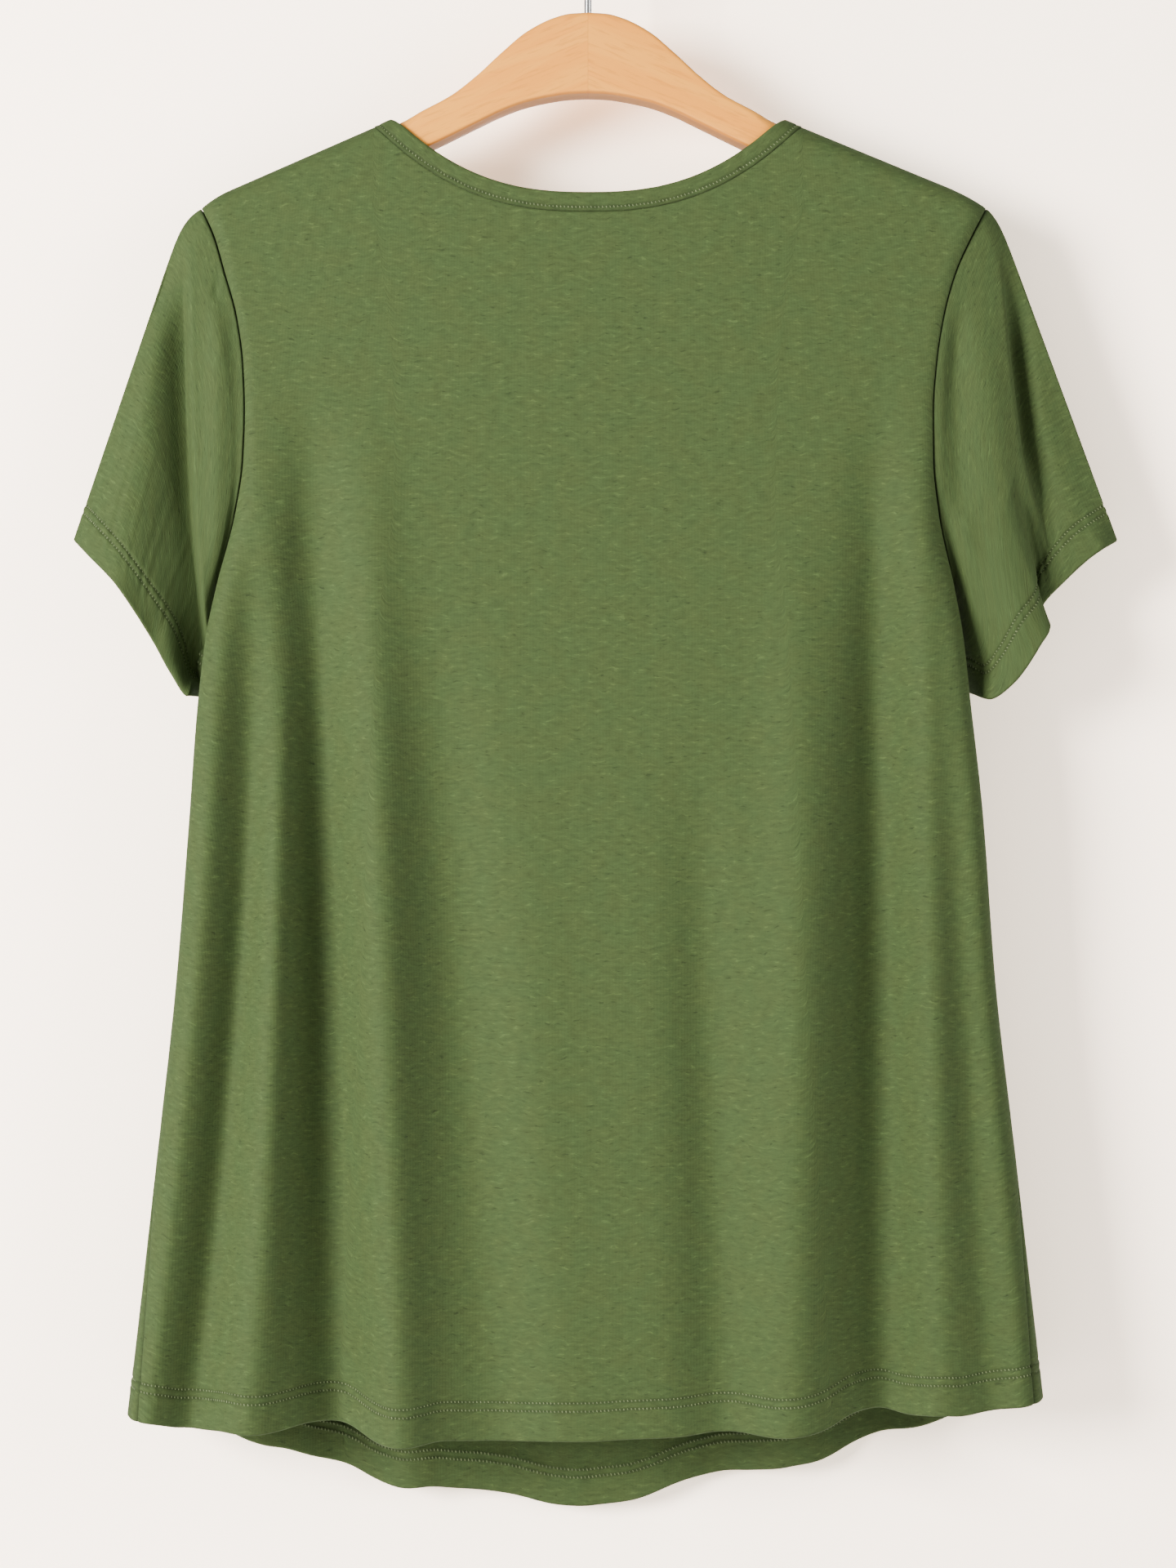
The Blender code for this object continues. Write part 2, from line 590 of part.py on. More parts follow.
def wood_section(across, shrink):
    """A closed ring of points round the wood at one station. shrink draws it in at the arm's end."""
    row = wood_row(abs(across))
    middle = (row.top + row.bottom) / 2
    height = (row.bottom - row.top) / 2 * shrink
    thick = WOOD_HALF_THICKNESS * shrink
    ring = []
    corners = ((1, -1, row.edge_round), (1, 1, WOOD_UNDER_ROUND), (-1, 1, WOOD_UNDER_ROUND), (-1, -1, row.edge_round))
    for n, (side, down, corner_round) in enumerate(corners):
        corner = min(corner_round * shrink, thick * 0.98, height * 0.98)
        for step in range(WOOD_ARC_STEPS + 1):
            angle = math.pi / 2 * (n - 1 + step / WOOD_ARC_STEPS)
            y = side * (thick - corner) + corner * math.cos(angle)
            down_by = down * (height - corner) + corner * math.sin(angle)
            ring.append(Vector((across, y, -(middle + down_by))))
    return ring


def make_hanger_wood():
    """The bow-shaped hanger, swept from end to end through its stations, with a blind hole for the hook."""
    beech = material("beech", (0.80, 0.48, 0.22), 0.45)
    half = [WOOD_END * (n / WOOD_STATIONS) for n in range(WOOD_STATIONS)]
    ends = [(WOOD_END * 0.975, 0.93), (WOOD_END * 0.992, 0.72), (WOOD_END, 0.4)]
    right = [(across, 1.0) for across in half[1:]] + ends
    stations = [(-across, shrink) for across, shrink in right[::-1]] + [(0.0, 1.0)] + right
    mesh = bmesh.new()
    rings = [[mesh.verts.new(place) for place in wood_section(*station)] for station in stations]
    count = len(rings[0])
    for ring, following in zip(rings, rings[1:]):
        for n in range(count):
            m = (n + 1) % count
            mesh.faces.new((ring[n], ring[m], following[m], following[n]))
    mesh.faces.new(rings[0][::-1])
    mesh.faces.new(rings[-1])
    wood = finished("hanger_wood", beech, mesh)
    hole_radius = WIRE_RADIUS + SHANK_HOLE_CLEARANCE
    hole_depth = SHANK_DEPTH_IN_WOOD + SHANK_HOLE_CLEARANCE
    top = WOOD_ARM[0].top
    bpy.ops.mesh.primitive_cylinder_add(vertices=16, radius=hole_radius, depth=2 * hole_depth, location=(0, 0, -top))
    cutter = bpy.context.object
    cutter.name = "shank_hole_cutter"
    cutter.hide_render = True
    cutter.display_type = "WIRE"
    cut = wood.modifiers.new("shank hole", "BOOLEAN")
    cut.operation = "DIFFERENCE"
    cut.object = cutter
    return wood


def hook_route():
    """The wire's middle line: up out of the wood, round to the right, over the top and down to its tip."""
    bend = HOOK_INSIDE_RADIUS + WIRE_RADIUS
    centre_drop = HOOK_INSIDE_RADIUS
    foot = -(WOOD_ARM[0].top + SHANK_DEPTH_IN_WOOD)
    start_angle = math.radians(-38)
    leave = Vector((bend * math.cos(start_angle), 0, -centre_drop + bend * math.sin(start_angle)))
    heading = Vector((-math.sin(start_angle), 0, math.cos(start_angle)))
    shank_top = Vector((0, 0, leave.z - 21 * MM))
    points = [Vector((0, 0, mix(foot, shank_top.z, n / 4))) for n in range(5)]
    reach = 15 * MM
    for n in range(1, 9):
        t = n / 9
        p1, p2 = shank_top + Vector((0, 0, reach)), leave - heading * reach
        points.append(
            shank_top * (1 - t) ** 3 + p1 * 3 * t * (1 - t) ** 2 + p2 * 3 * t * t * (1 - t) + leave * t**3
        )
    for n in range(HOOK_STEPS + 1):
        angle = mix(start_angle, HOOK_TIP_ANGLE, n / HOOK_STEPS)
        points.append(Vector((bend * math.cos(angle), 0, -centre_drop + bend * math.sin(angle))))
    return points


def make_hook():
    """The steel hook, a round wire along its route."""
    steel = material("steel", (0.62, 0.62, 0.63), 0.25, metallic=1.0)
    curve = bpy.data.curves.new("hanger_hook", "CURVE")
    curve.dimensions = "3D"
    curve.bevel_depth = WIRE_RADIUS
    curve.bevel_resolution = WIRE_SIDES_SHARE
    curve.use_fill_caps = True
    route = hook_route()
    spline = curve.splines.new("POLY")
    spline.points.add(len(route) - 1)
    for slot, place in zip(spline.points, route):
        slot.co = (*place, 1)
    curve.materials.append(steel)
    hook = bpy.data.objects.new("hanger_hook", curve)
    bpy.context.scene.collection.objects.link(hook)
    return hook


def main():
    for old in list(bpy.data.objects):
        bpy.data.objects.remove(old)
    make_cloth()
    make_hanger_wood()
    make_hook()


main()
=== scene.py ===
"""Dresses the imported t-shirt and its wooden hanger, hung flat against a pale wall.

Lengths are metres in the part's own frame: the origin is the inside top of the hook, +Z is up, the shirt's back
faces -Y and +X is to the right as the back is looked at. A drop is a distance down from the origin.
The cloth follows the same named sizes as the solids, in fine meshes with seams, hems, stitches and a knit.
"""

import logging
import math
from dataclasses import dataclass, field
from enum import IntEnum
from typing import NamedTuple, Sequence

import bpy
import numpy as np
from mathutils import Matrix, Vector


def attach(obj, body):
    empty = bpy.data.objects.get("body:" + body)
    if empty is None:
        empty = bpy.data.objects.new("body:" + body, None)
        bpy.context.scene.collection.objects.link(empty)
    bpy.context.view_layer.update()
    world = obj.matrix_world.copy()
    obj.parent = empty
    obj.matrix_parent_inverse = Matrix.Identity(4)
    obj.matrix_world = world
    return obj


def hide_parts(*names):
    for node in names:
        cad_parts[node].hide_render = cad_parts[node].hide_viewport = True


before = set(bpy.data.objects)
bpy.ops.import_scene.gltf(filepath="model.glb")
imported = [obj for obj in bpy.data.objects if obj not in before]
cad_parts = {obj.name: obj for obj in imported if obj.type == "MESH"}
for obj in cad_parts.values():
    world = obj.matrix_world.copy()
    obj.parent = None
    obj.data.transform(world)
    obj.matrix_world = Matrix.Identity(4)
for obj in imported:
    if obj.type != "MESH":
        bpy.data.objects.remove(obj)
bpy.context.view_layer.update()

log = logging.getLogger("t-shirt")

MM = 0.001
ROOT = "root"
Array = np.ndarray


class Face(IntEnum):
    """A face of the shirt, by the sign of its Y."""

    BACK = -1
    FRONT = 1


class Hand(IntEnum):
    """A side of the shirt, by the sign of its X."""

    LEFT = -1
    RIGHT = 1


class Side(NamedTuple):
    """The edge of the panels at one drop: the armholes down to the underarm, then the sides."""

    drop: float
    left: float
    right: float


class Depth(NamedTuple):
    """How deep the body is at one drop, how round its sides are, and where their seams sit."""

    drop: float
    back: float
    front: float
    side_round: float
    side_shift: float
    seam_turn: float


class Fold(NamedTuple):
    """A flute of the flared body; depth is plus where it stands out towards the back."""

    start_drop: float
    start_across: float
    waist_across: float
    hem_across: float
    depth: float
    start_width: float
    hem_width: float


class HemWave(NamedTuple):
    """A flat-topped wave along a hem's edge; lift is plus where the edge is raised."""

    across: float
    half_width: float
    lift: float


class Cuff(NamedTuple):
    """One point of a cuff's edge, by its share of the way from the outermost point to the underarm."""

    share: float
    across: float
    depth: float
    drop: float


class SleeveFold(NamedTuple):
    """A fold down the near face of a sleeve; depth is plus for a trough."""

    start_drop: float
    end_drop: float
    start_across: float
    middle_across: float
    end_across: float
    depth: float
    outer_width: float
    inner_width: float


class Wood(NamedTuple):
    """One section of the hanger's arm."""

    across: float
    top: float
    bottom: float
    edge_round: float


def millimetres(kind: type, rows: Sequence[Sequence[float]], plain: Sequence[str] = ()) -> list:
    """Turns rows written in millimetres into rows in metres.

    Args:
        kind: the named tuple that a row becomes.
        rows: the rows, in the order of its fields.
        plain: the fields that are no lengths and stay as they are.

    Returns:
        The rows as that kind.
    """
    scales = [1.0 if name in plain else MM for name in kind._fields]
    return [kind(*(value * scale for value, scale in zip(row, scales))) for row in rows]


def read(table: Sequence[NamedTuple], key: Array, column: str) -> Array:
    """Reads one column of a table on a smooth curve through its rows that overshoots none of them.

    Args:
        table: the rows, whose first field is the place.
        key: the places to read at.
        column: the field to read.

    Returns:
        The column's value at each place.
    """
    keys = np.array([row[0] for row in table], float)
    values = np.array([getattr(row, column) for row in table], float)
    chords = np.diff(values) / np.diff(keys)
    slopes = np.empty_like(values)
    slopes[0], slopes[-1] = chords[0], chords[-1]
    before, after = chords[:-1], chords[1:]
    total = np.where(before + after == 0, 1.0, before + after)
    slopes[1:-1] = np.where(before * after > 0, 2 * before * after / total, 0.0)
    place = np.clip(np.asarray(key, float), keys[0], keys[-1])
    i = np.clip(np.searchsorted(keys, place, side="right") - 1, 0, len(keys) - 2)
    span = keys[i + 1] - keys[i]
    t = (place - keys[i]) / span
    return (
        (2 * t**3 - 3 * t**2 + 1) * values[i]
        + (t**3 - 2 * t**2 + t) * span * slopes[i]
        + (3 * t**2 - 2 * t**3) * values[i + 1]
        + (t**3 - t**2) * span * slopes[i + 1]
    )


def ease(value: Array, low: float = 0.0, high: float = 1.0) -> Array:
    """Rises smoothly from 0 at low to 1 at high."""
    t = np.clip((np.asarray(value, float) - low) / (high - low), 0.0, 1.0)
    return t * t * (3 - 2 * t)


def bell(distance: Array, width: float, power: float = 2) -> Array:
    """A smooth hump of height 1 at distance 0, or a flatter-topped one at a higher power."""
    return np.exp(-(np.abs(distance / width) ** power))


def bent_line(start: float, middle: float, end: float, share: Array) -> Array:
    """A line that runs from start to end and passes through middle half-way."""
    bend = middle - (start + end) / 2
    return start + (end - start) * share + 4 * bend * np.clip(share * (1 - share), 0, 1)


def wrapped(grid: Array) -> Array:
    """A closed grid with its first column once more at its end."""
    return np.concatenate([grid, grid[:, :1]], axis=1)


@dataclass
class ShirtForm:
    """The shirt's skin: the sizes that the solids are built from, and where a point of each piece lies."""

    neck_half_width: float = 112.5 * MM
    neck_point_drop: float = 135.5 * MM
    shoulder_point_drop: float = 178 * MM
    shoulder_fall_start: float = 188 * MM
    underarm_drop: float = 376 * MM
    arm_wrap: float = 11.7 * MM
    hem_turn_up: float = 18 * MM
    hem_wave_power: float = 3.0
    fold_full_at: float = 0.62
    fold_past_hem: float = 1.2
    front_nesting: float = 0.55
    armhole_opening: float = math.radians(62)
    armhole_roundness: float = 0.3
    wave_fade: float = 6.0
    side_shift_from: float = 0.84
    bulge_start: float = 0.035
    seam_gap: float = 0.35 * MM
    underarm_lift: float = 2.2 * MM
    neck_depth: dict = field(default_factory=lambda: {Face.BACK: 46 * MM, Face.FRONT: 92 * MM})
    neck_roundness: dict = field(default_factory=lambda: {Face.BACK: 2.5, Face.FRONT: 2.3})
    shoulder_slope: dict = field(default_factory=lambda: {Hand.LEFT: 0.437, Hand.RIGHT: 0.412})
    hem_centre_drop: dict = field(default_factory=lambda: {Face.BACK: 819 * MM, Face.FRONT: 866 * MM})
    hem_side_drop: dict = field(default_factory=lambda: {Hand.LEFT: 811 * MM, Hand.RIGHT: 802 * MM})
    hem_roundness: dict = field(default_factory=lambda: {Face.BACK: 2.0, Face.FRONT: 1.6})
    sleeve_bulge: dict = field(default_factory=lambda: {Hand.LEFT: 8 * MM, Hand.RIGHT: 4.5 * MM})
    sides: list = field(default_factory=lambda: millimetres(Side, (
        (178, 203.6, 209.8), (194, 196.2, 201.4), (213, 190.6, 192.8), (236, 184.2, 186.4), (262, 180.6, 182.3),
        (286, 179.7, 180.6), (312, 180.6, 180.8), (340, 185.0, 183.8), (376, 194.4, 191.6), (404, 200.2, 196.6),
        (440, 204.4, 200.5), (498, 209.0, 207.2), (584, 216.3, 214.0), (670, 225.8, 224.0), (756, 235.4, 233.8),
        (815, 242.3, 240.5),
    )))
    depths: list = field(default_factory=lambda: millimetres(Depth, (
        (130, 11.7, 11.7, 12, 0, 0), (200, 11.7, 11.7, 12, 0, 0), (300, 14, 14, 12, 2, -10),
        (376, 15, 15, 13, 7, -38), (440, 18, 17, 14, 8, -30), (520, 22, 21, 15, 4, -16), (640, 26, 25, 16, 0, 6),
        (740, 28, 27, 17, 0, 40), (820, 30, 29, 18, 0, 58),
    ), plain=("seam_turn",)))
    folds: list = field(default_factory=lambda: millimetres(Fold, (
        (330, -178, -183, -208, -15, 10, 15),
        (330, -161, -162, -176, 8, 10, 15),
        (280, -145, -139, -131, -20.5, 13, 20),
        (280, -115, -107, -98, 12, 15, 17),
        (380, -82, -64, -46, -10, 18, 26),
        (480, -32, -30, -22, 2.5, 20, 24),
        (460, 56, 64, 70, -9.5, 15, 19.5),
        (330, 108, 109, 104, 9, 16, 18),
        (280, 152, 151, 155, -20, 13.5, 21),
        (300, 166, 175, 179, 6.5, 11, 13),
        (330, 180, 195, 212, -6, 9, 12),
    )))
    hem_waves: dict = field(default_factory=lambda: {
        Face.BACK: millimetres(HemWave, (
            (-208, 17, -3.3), (-176, 13, -0.9), (-138, 18, 3.2), (-99, 19, -4), (-52, 25, -2.8), (-10, 24, -1.2),
            (69, 13, 0.8), (103, 16, -1.2), (145, 17.5, 5.6), (178, 12, 2),
        )),
        Face.FRONT: millimetres(HemWave, (
            (-208, 16, -2), (-178, 13, -1.6), (-140, 18, -1.8), (-107, 18, -4.5), (-50, 18, 1.2), (-12, 16, -1.2),
            (63, 29, 7.2), (102, 15, 2.2), (150, 18, 2.8),
        )),
    })
    cuffs: dict = field(default_factory=lambda: {
        (Hand.LEFT, Face.BACK): millimetres(Cuff, (
            (0.00, 271, 2, 352), (0.14, 261, -13, 361), (0.32, 245, -20, 377), (0.50, 234, -13, 394),
            (0.64, 227, -6, 407), (0.78, 219, -4, 422), (0.90, 210, -5, 434), (1.00, 205, 10, 434),
        ), plain=("share",)),
        (Hand.LEFT, Face.FRONT): millimetres(Cuff, (
            (0.00, 271, 2, 352), (0.16, 262, 17, 358), (0.36, 248, 24, 372), (0.56, 237, 21, 389),
            (0.76, 225, 26, 409), (0.90, 213, 23, 425), (1.00, 205, 10, 434),
        ), plain=("share",)),
        (Hand.RIGHT, Face.BACK): millimetres(Cuff, (
            (0.00, 279, 3, 352), (0.16, 267, -6, 359), (0.32, 251, -5, 373), (0.44, 238, -4, 389),
            (0.54, 241, -16, 398), (0.66, 235, -21, 408), (0.82, 221, -17, 428), (0.92, 209, -11, 436),
            (1.00, 201, 10, 432),
        ), plain=("share",)),
        (Hand.RIGHT, Face.FRONT): millimetres(Cuff, (
            (0.00, 279, 3, 352), (0.16, 270, 18, 356), (0.36, 255, 25, 369), (0.56, 240, 22, 387),
            (0.76, 226, 27, 408), (0.90, 211, 23, 424), (1.00, 201, 10, 432),
        ), plain=("share",)),
    })
    sleeve_folds: dict = field(default_factory=lambda: {
        Hand.LEFT: millimetres(SleeveFold, (
            (190, 410, -213, -211, -204, 15.0, 14.5, 2.6), (200, 400, -192, -193, -193, -3.5, 7, 8),
            (204, 223, -191.0, -192.5, -194.0, 3.2, 2.2, 1.8),
        )),
        Hand.RIGHT: millimetres(SleeveFold, (
            (196, 402, 218, 229, 243.5, 14.0, 8.5, 1.7), (225, 400, 207, 215, 226, -2.5, 9, 10),
            (205, 372, 190, 193, 196, 4.5, 7, 7), (325, 415, 195, 197, 200, -6.0, 6, 7),
        )),
    })

    def arm_line(self, across: Array) -> Array:
        """The cloth's line over the hanger's arm.

        Args:
            across: the distances from the middle, plus to the right.

        Returns:
            The drop at each of them.
        """
        across = np.asarray(across, float)
        slope = np.where(across > 0, self.shoulder_slope[Hand.RIGHT], self.shoulder_slope[Hand.LEFT])
        tip = np.where(across > 0, self.sides[0].right, self.sides[0].left)
        straight = self.neck_point_drop + slope * (tip - self.neck_half_width)
        far = np.maximum(0.0, np.abs(across) - self.shoulder_fall_start) / (tip - self.shoulder_fall_start)
        line = self.neck_point_drop + slope * (np.abs(across) - self.neck_half_width)
        return line + (self.shoulder_point_drop - straight) * far * far

    def top_drop(self, face: Face, across: Array) -> Array:
        """A panel's top edge: the neckline in the middle, and the shoulder seam past it.

        Args:
            face: the panel.
            across: the distances from the middle.

        Returns:
            The edge's drop at each of them.
        """
        inside = np.clip(np.abs(across) / self.neck_half_width, 0, 1) ** self.neck_roundness[face]
        neckline = self.neck_point_drop + self.neck_depth[face] * (1 - inside)
        return np.where(np.abs(across) >= self.neck_half_width, self.arm_line(across), neckline)

    def fold_depth(self, across: Array, drop: Array) -> Array:
        """How far the folds push the cloth towards the back.

        Args:
            across: the points' distances from the middle.
            drop: their drops.

        Returns:
            The push at each point.
        """
        total = np.zeros(np.broadcast(across, drop).shape)
        for fold in self.folds:
            length = self.hem_centre_drop[Face.BACK] - fold.start_drop
            share = np.clip((drop - fold.start_drop) / length, 0, self.fold_past_hem)
            middle = bent_line(fold.start_across, fold.waist_across, fold.hem_across, share)
            width = fold.start_width + (fold.hem_width - fold.start_width) * share
            strength = np.sin(math.pi / 2 * np.clip(share / self.fold_full_at, 0, 1))
            total = total + fold.depth * strength * bell(across - middle, width)
        return total

    def panel_depth(self, face: Face, across: Array, drop: Array) -> Array:
        """How far a panel lies from the hanger's plane.

        Args:
            face: the panel.
            across: the points' distances from the middle.
            drop: their drops.

        Returns:
            The distance at each point, plus outwards on either face.
        """
        under = np.clip((drop - self.arm_line(across)) / self.arm_wrap, 0, 1)
        wrap = np.sqrt(1 - (1 - under) ** 2)
        if face == Face.BACK:
            return wrap * (read(self.depths, drop, "back") + self.fold_depth(across, drop))
        return wrap * (read(self.depths, drop, "front") - self.front_nesting * self.fold_depth(across, drop))

    def armhole_turn(self, drop: Array) -> Array:
        """How far round the body's side an armhole edge lies from the armhole's middle.

        Args:
            drop: the drops along the edge.

        Returns:
            The angle at each drop, 0 above and below the armhole.
        """
        share = np.clip((drop - self.shoulder_point_drop) / (self.underarm_drop - self.shoulder_point_drop), 0, 1)
        rise = np.maximum(0, np.sin(math.pi * share)) ** self.armhole_roundness
        return self.armhole_opening * rise * ((share > 0) & (share < 1))

    def edge_turn(self, face: Face, drop: Array) -> Array:
        """The angle round the body's side, plus towards the back, where a panel's edge lies."""
        return np.radians(read(self.depths, drop, "seam_turn")) - face * self.armhole_turn(drop)

    def half_width(self, hand: Array, drop: Array) -> Array:
        """From the middle to the outermost line of the body's rounded side.

        Args:
            hand: the side of each point.
            drop: its drop.

        Returns:
            The distance at each point.
        """
        edge = np.where(hand < 0, read(self.sides, drop, "left"), read(self.sides, drop, "right"))
        turn = np.maximum(0.0, self.edge_turn(Face.BACK, drop))
        wider = read(self.depths, drop, "side_round") * (1 - np.cos(turn))
        return edge + np.where(drop >= self.underarm_drop, 0.0, wider)

    def place(self, face: Face, hand: Array, flat: Array, around: Array, drop: Array) -> Array:
        """Where points of a panel lie.

        Args:
            face: the panel.
            hand: the side of each point.
            flat: its share of the width between the rounded sides.
            around: its share of the way round a side, from the panel's edge to where the flat begins.
            drop: its drop.

        Returns:
            The points, with X, Y and Z in the last axis.
        """
        side_round = read(self.depths, drop, "side_round")
        turn = self.edge_turn(face, drop) * (1 - around) - face * math.pi / 2 * around
        flat_width = self.half_width(hand, drop) - side_round
        on_side = around < 1
        across = hand * (flat_width * flat + side_round * np.cos(turn) * on_side)
        beside = ease(flat, self.side_shift_from, 1.0)
        shift = -read(self.depths, drop, "side_shift") * beside
        back, front = (self.panel_depth(f, across, drop) for f in (Face.BACK, Face.FRONT))
        round_y = np.where(turn > 0, -back, front) * np.abs(np.sin(turn))
        flat_y = -back if face == Face.BACK else front
        depth = shift + np.where(on_side, round_y, flat_y)
        return np.stack(np.broadcast_arrays(across, depth, -drop), axis=-1)

    def hem_drop(self, face: Face, hand: Array, flat: Array, around: Array) -> Array:
        """The drop of the hem's edge under each column of a panel.

        Args:
            face: the panel.
            hand: the side of each column.
            flat: its share of the width between the rounded sides.
            around: its share of the way round a side.

        Returns:
            The drop under each column.
        """
        side = np.where(hand < 0, self.hem_side_drop[Hand.LEFT], self.hem_side_drop[Hand.RIGHT])
        across = self.place(face, hand, flat, around, side)[..., 0]
        seam = self.place(face, hand, np.ones_like(flat), np.zeros_like(around), side)[..., 0]
        middle = 1 - np.clip(across / seam, 0, 1) ** self.hem_roundness[face]
        plain = side + (self.hem_centre_drop[face] - side) * middle
        lift = np.zeros(across.shape)
        for wave in self.hem_waves[face]:
            lift += wave.lift * bell(across - wave.across, wave.half_width, self.hem_wave_power)
        return plain - lift * np.clip(middle * self.wave_fade, 0, 1)


@dataclass
class PanelGrid:
    """The fine grid of one panel: its columns across, its rows down, and where its hem's edge is."""

    form: ShirtForm
    face: Face
    end_columns: int = 16
    shoulder_columns: int = 40
    neck_columns: int = 40
    neck_point_columns: int = 8
    neck_point_share: float = 0.93
    yoke_rows: int = 80
    yoke_gather: float = 0.93
    skirt_rows: int = 104
    hem_rows: int = 14
    hem_margin: float = 4 * MM

    def columns(self) -> tuple[Array, Array, Array]:
        """The columns from left to right.

        Returns:
            Each column's hand, its share of the flat width, and its share of the way round a side.
        """
        form = self.form
        point = np.linspace(0, 1, self.neck_point_columns + 1)[1:]
        inner = np.linspace(0, self.neck_point_share, self.neck_columns + 1)
        inner = np.concatenate([inner, 1 - (1 - self.neck_point_share) * (1 - point) ** 2])
        hands, flats, arounds = [], [], []
        for hand in (Hand.LEFT, Hand.RIGHT):
            start = np.array(form.shoulder_point_drop)
            flat_width = form.half_width(np.array(float(hand)), start) - read(form.depths, start, "side_round")
            neck = form.neck_half_width / float(flat_width)
            outer = np.linspace(neck, 1, self.shoulder_columns + 1)[1:]
            flat = np.concatenate([inner * neck, outer, np.ones(self.end_columns)])
            around = np.concatenate([
                np.ones(len(inner) + len(outer)), 1 - np.linspace(0, 1, self.end_columns + 1)[1:],
            ])
            order = slice(None, 0, -1) if hand == Hand.LEFT else slice(None)
            hands.append(np.full(len(flat[order]), float(hand)))
            flats.append(flat[order])
            arounds.append(around[order])
        return np.concatenate(hands), np.concatenate(flats), np.concatenate(arounds)

    def yoke_shares(self) -> Array:
        """The rows from the top edge to the underarm, closer together at both ends."""
        t = np.linspace(0, 1, self.yoke_rows + 1)
        return t - self.yoke_gather * np.sin(2 * math.pi * t) / (2 * math.pi)

    def build(self) -> tuple[Array, Array]:
        """Lays out the panel's skin.

        Returns:
            The points as rows by columns, and each point's height above the hem's edge.
        """
        form = self.form
        hand, flat, around = self.columns()
        start = np.full_like(flat, form.shoulder_point_drop)
        top = form.top_drop(self.face, form.place(self.face, hand, flat, around, start)[..., 0])
        hem = form.hem_drop(self.face, hand, flat, around)
        shares = self.yoke_shares()[:, None]
        yoke = top + (form.underarm_drop - top) * shares
        down = np.linspace(0, 1, self.skirt_rows + 1)[1:, None]
        skirt = form.underarm_drop + (hem - form.hem_turn_up - self.hem_margin - form.underarm_drop) * down
        last = np.linspace(1, 0, self.hem_rows + 1)[1:, None]
        turned = hem - (form.hem_turn_up + self.hem_margin) * last
        drops = np.concatenate([yoke, skirt, turned])
        points = form.place(self.face, hand, flat, around, drops)
        return points, hem - drops


def unit(vectors: Array) -> Array:
    """Scales vectors to length one."""
    return vectors / np.maximum(np.linalg.norm(vectors, axis=-1, keepdims=True), 1e-12)


def grid_normals(points: Array, closed: bool, flip: bool) -> Array:
    """The outward direction at every point of a grid.

    Args:
        points: rows by columns of points.
        closed: whether the last column joins the first.
        flip: whether to turn the directions round.

    Returns:
        One unit vector for each point.
    """
    if closed:
        wide = np.concatenate([points[:, -1:], points, points[:, :1]], axis=1)
        along = wide[:, 2:] - wide[:, :-2]
    else:
        along = np.gradient(points, axis=1)
    down = np.gradient(points, axis=0)
    normal = unit(np.cross(down, along))
    return -normal if flip else normal


def arc_lengths(points: Array, axis: int) -> Array:
    """The distance along rows or columns of a grid from their first point.

    Args:
        points: the grid.
        axis: 0 to go down its columns, 1 to go along its rows.

    Returns:
        The distance at each point.
    """
    steps = np.linalg.norm(np.diff(points, axis=axis), axis=-1)
    start = np.zeros_like(np.take(steps, [0], axis=axis))
    return np.concatenate([start, np.cumsum(steps, axis=axis)], axis=axis)


def rolled(distance: Array, reach: float, depth: float) -> Array:
    """How far an edge rolls in at a distance from it, as a seam allowance does."""
    t = np.clip(1 - distance / reach, 0, 1)
    return depth * (1 - np.sqrt(1 - t * t))


def between(top: Array, bottom: Array, inward: Array) -> Array:
    """The middle line of a rounded rim between a cloth's two faces.

    Args:
        top: the edge of the outer face.
        bottom: the edge of the inner face.
        inward: the direction from the edge into the cloth.

    Returns:
        A line half the cloth's thickness outside the edge.
    """
    thick = np.linalg.norm(top - bottom, axis=-1, keepdims=True)
    return (top + bottom) / 2 - unit(inward) * thick / 2


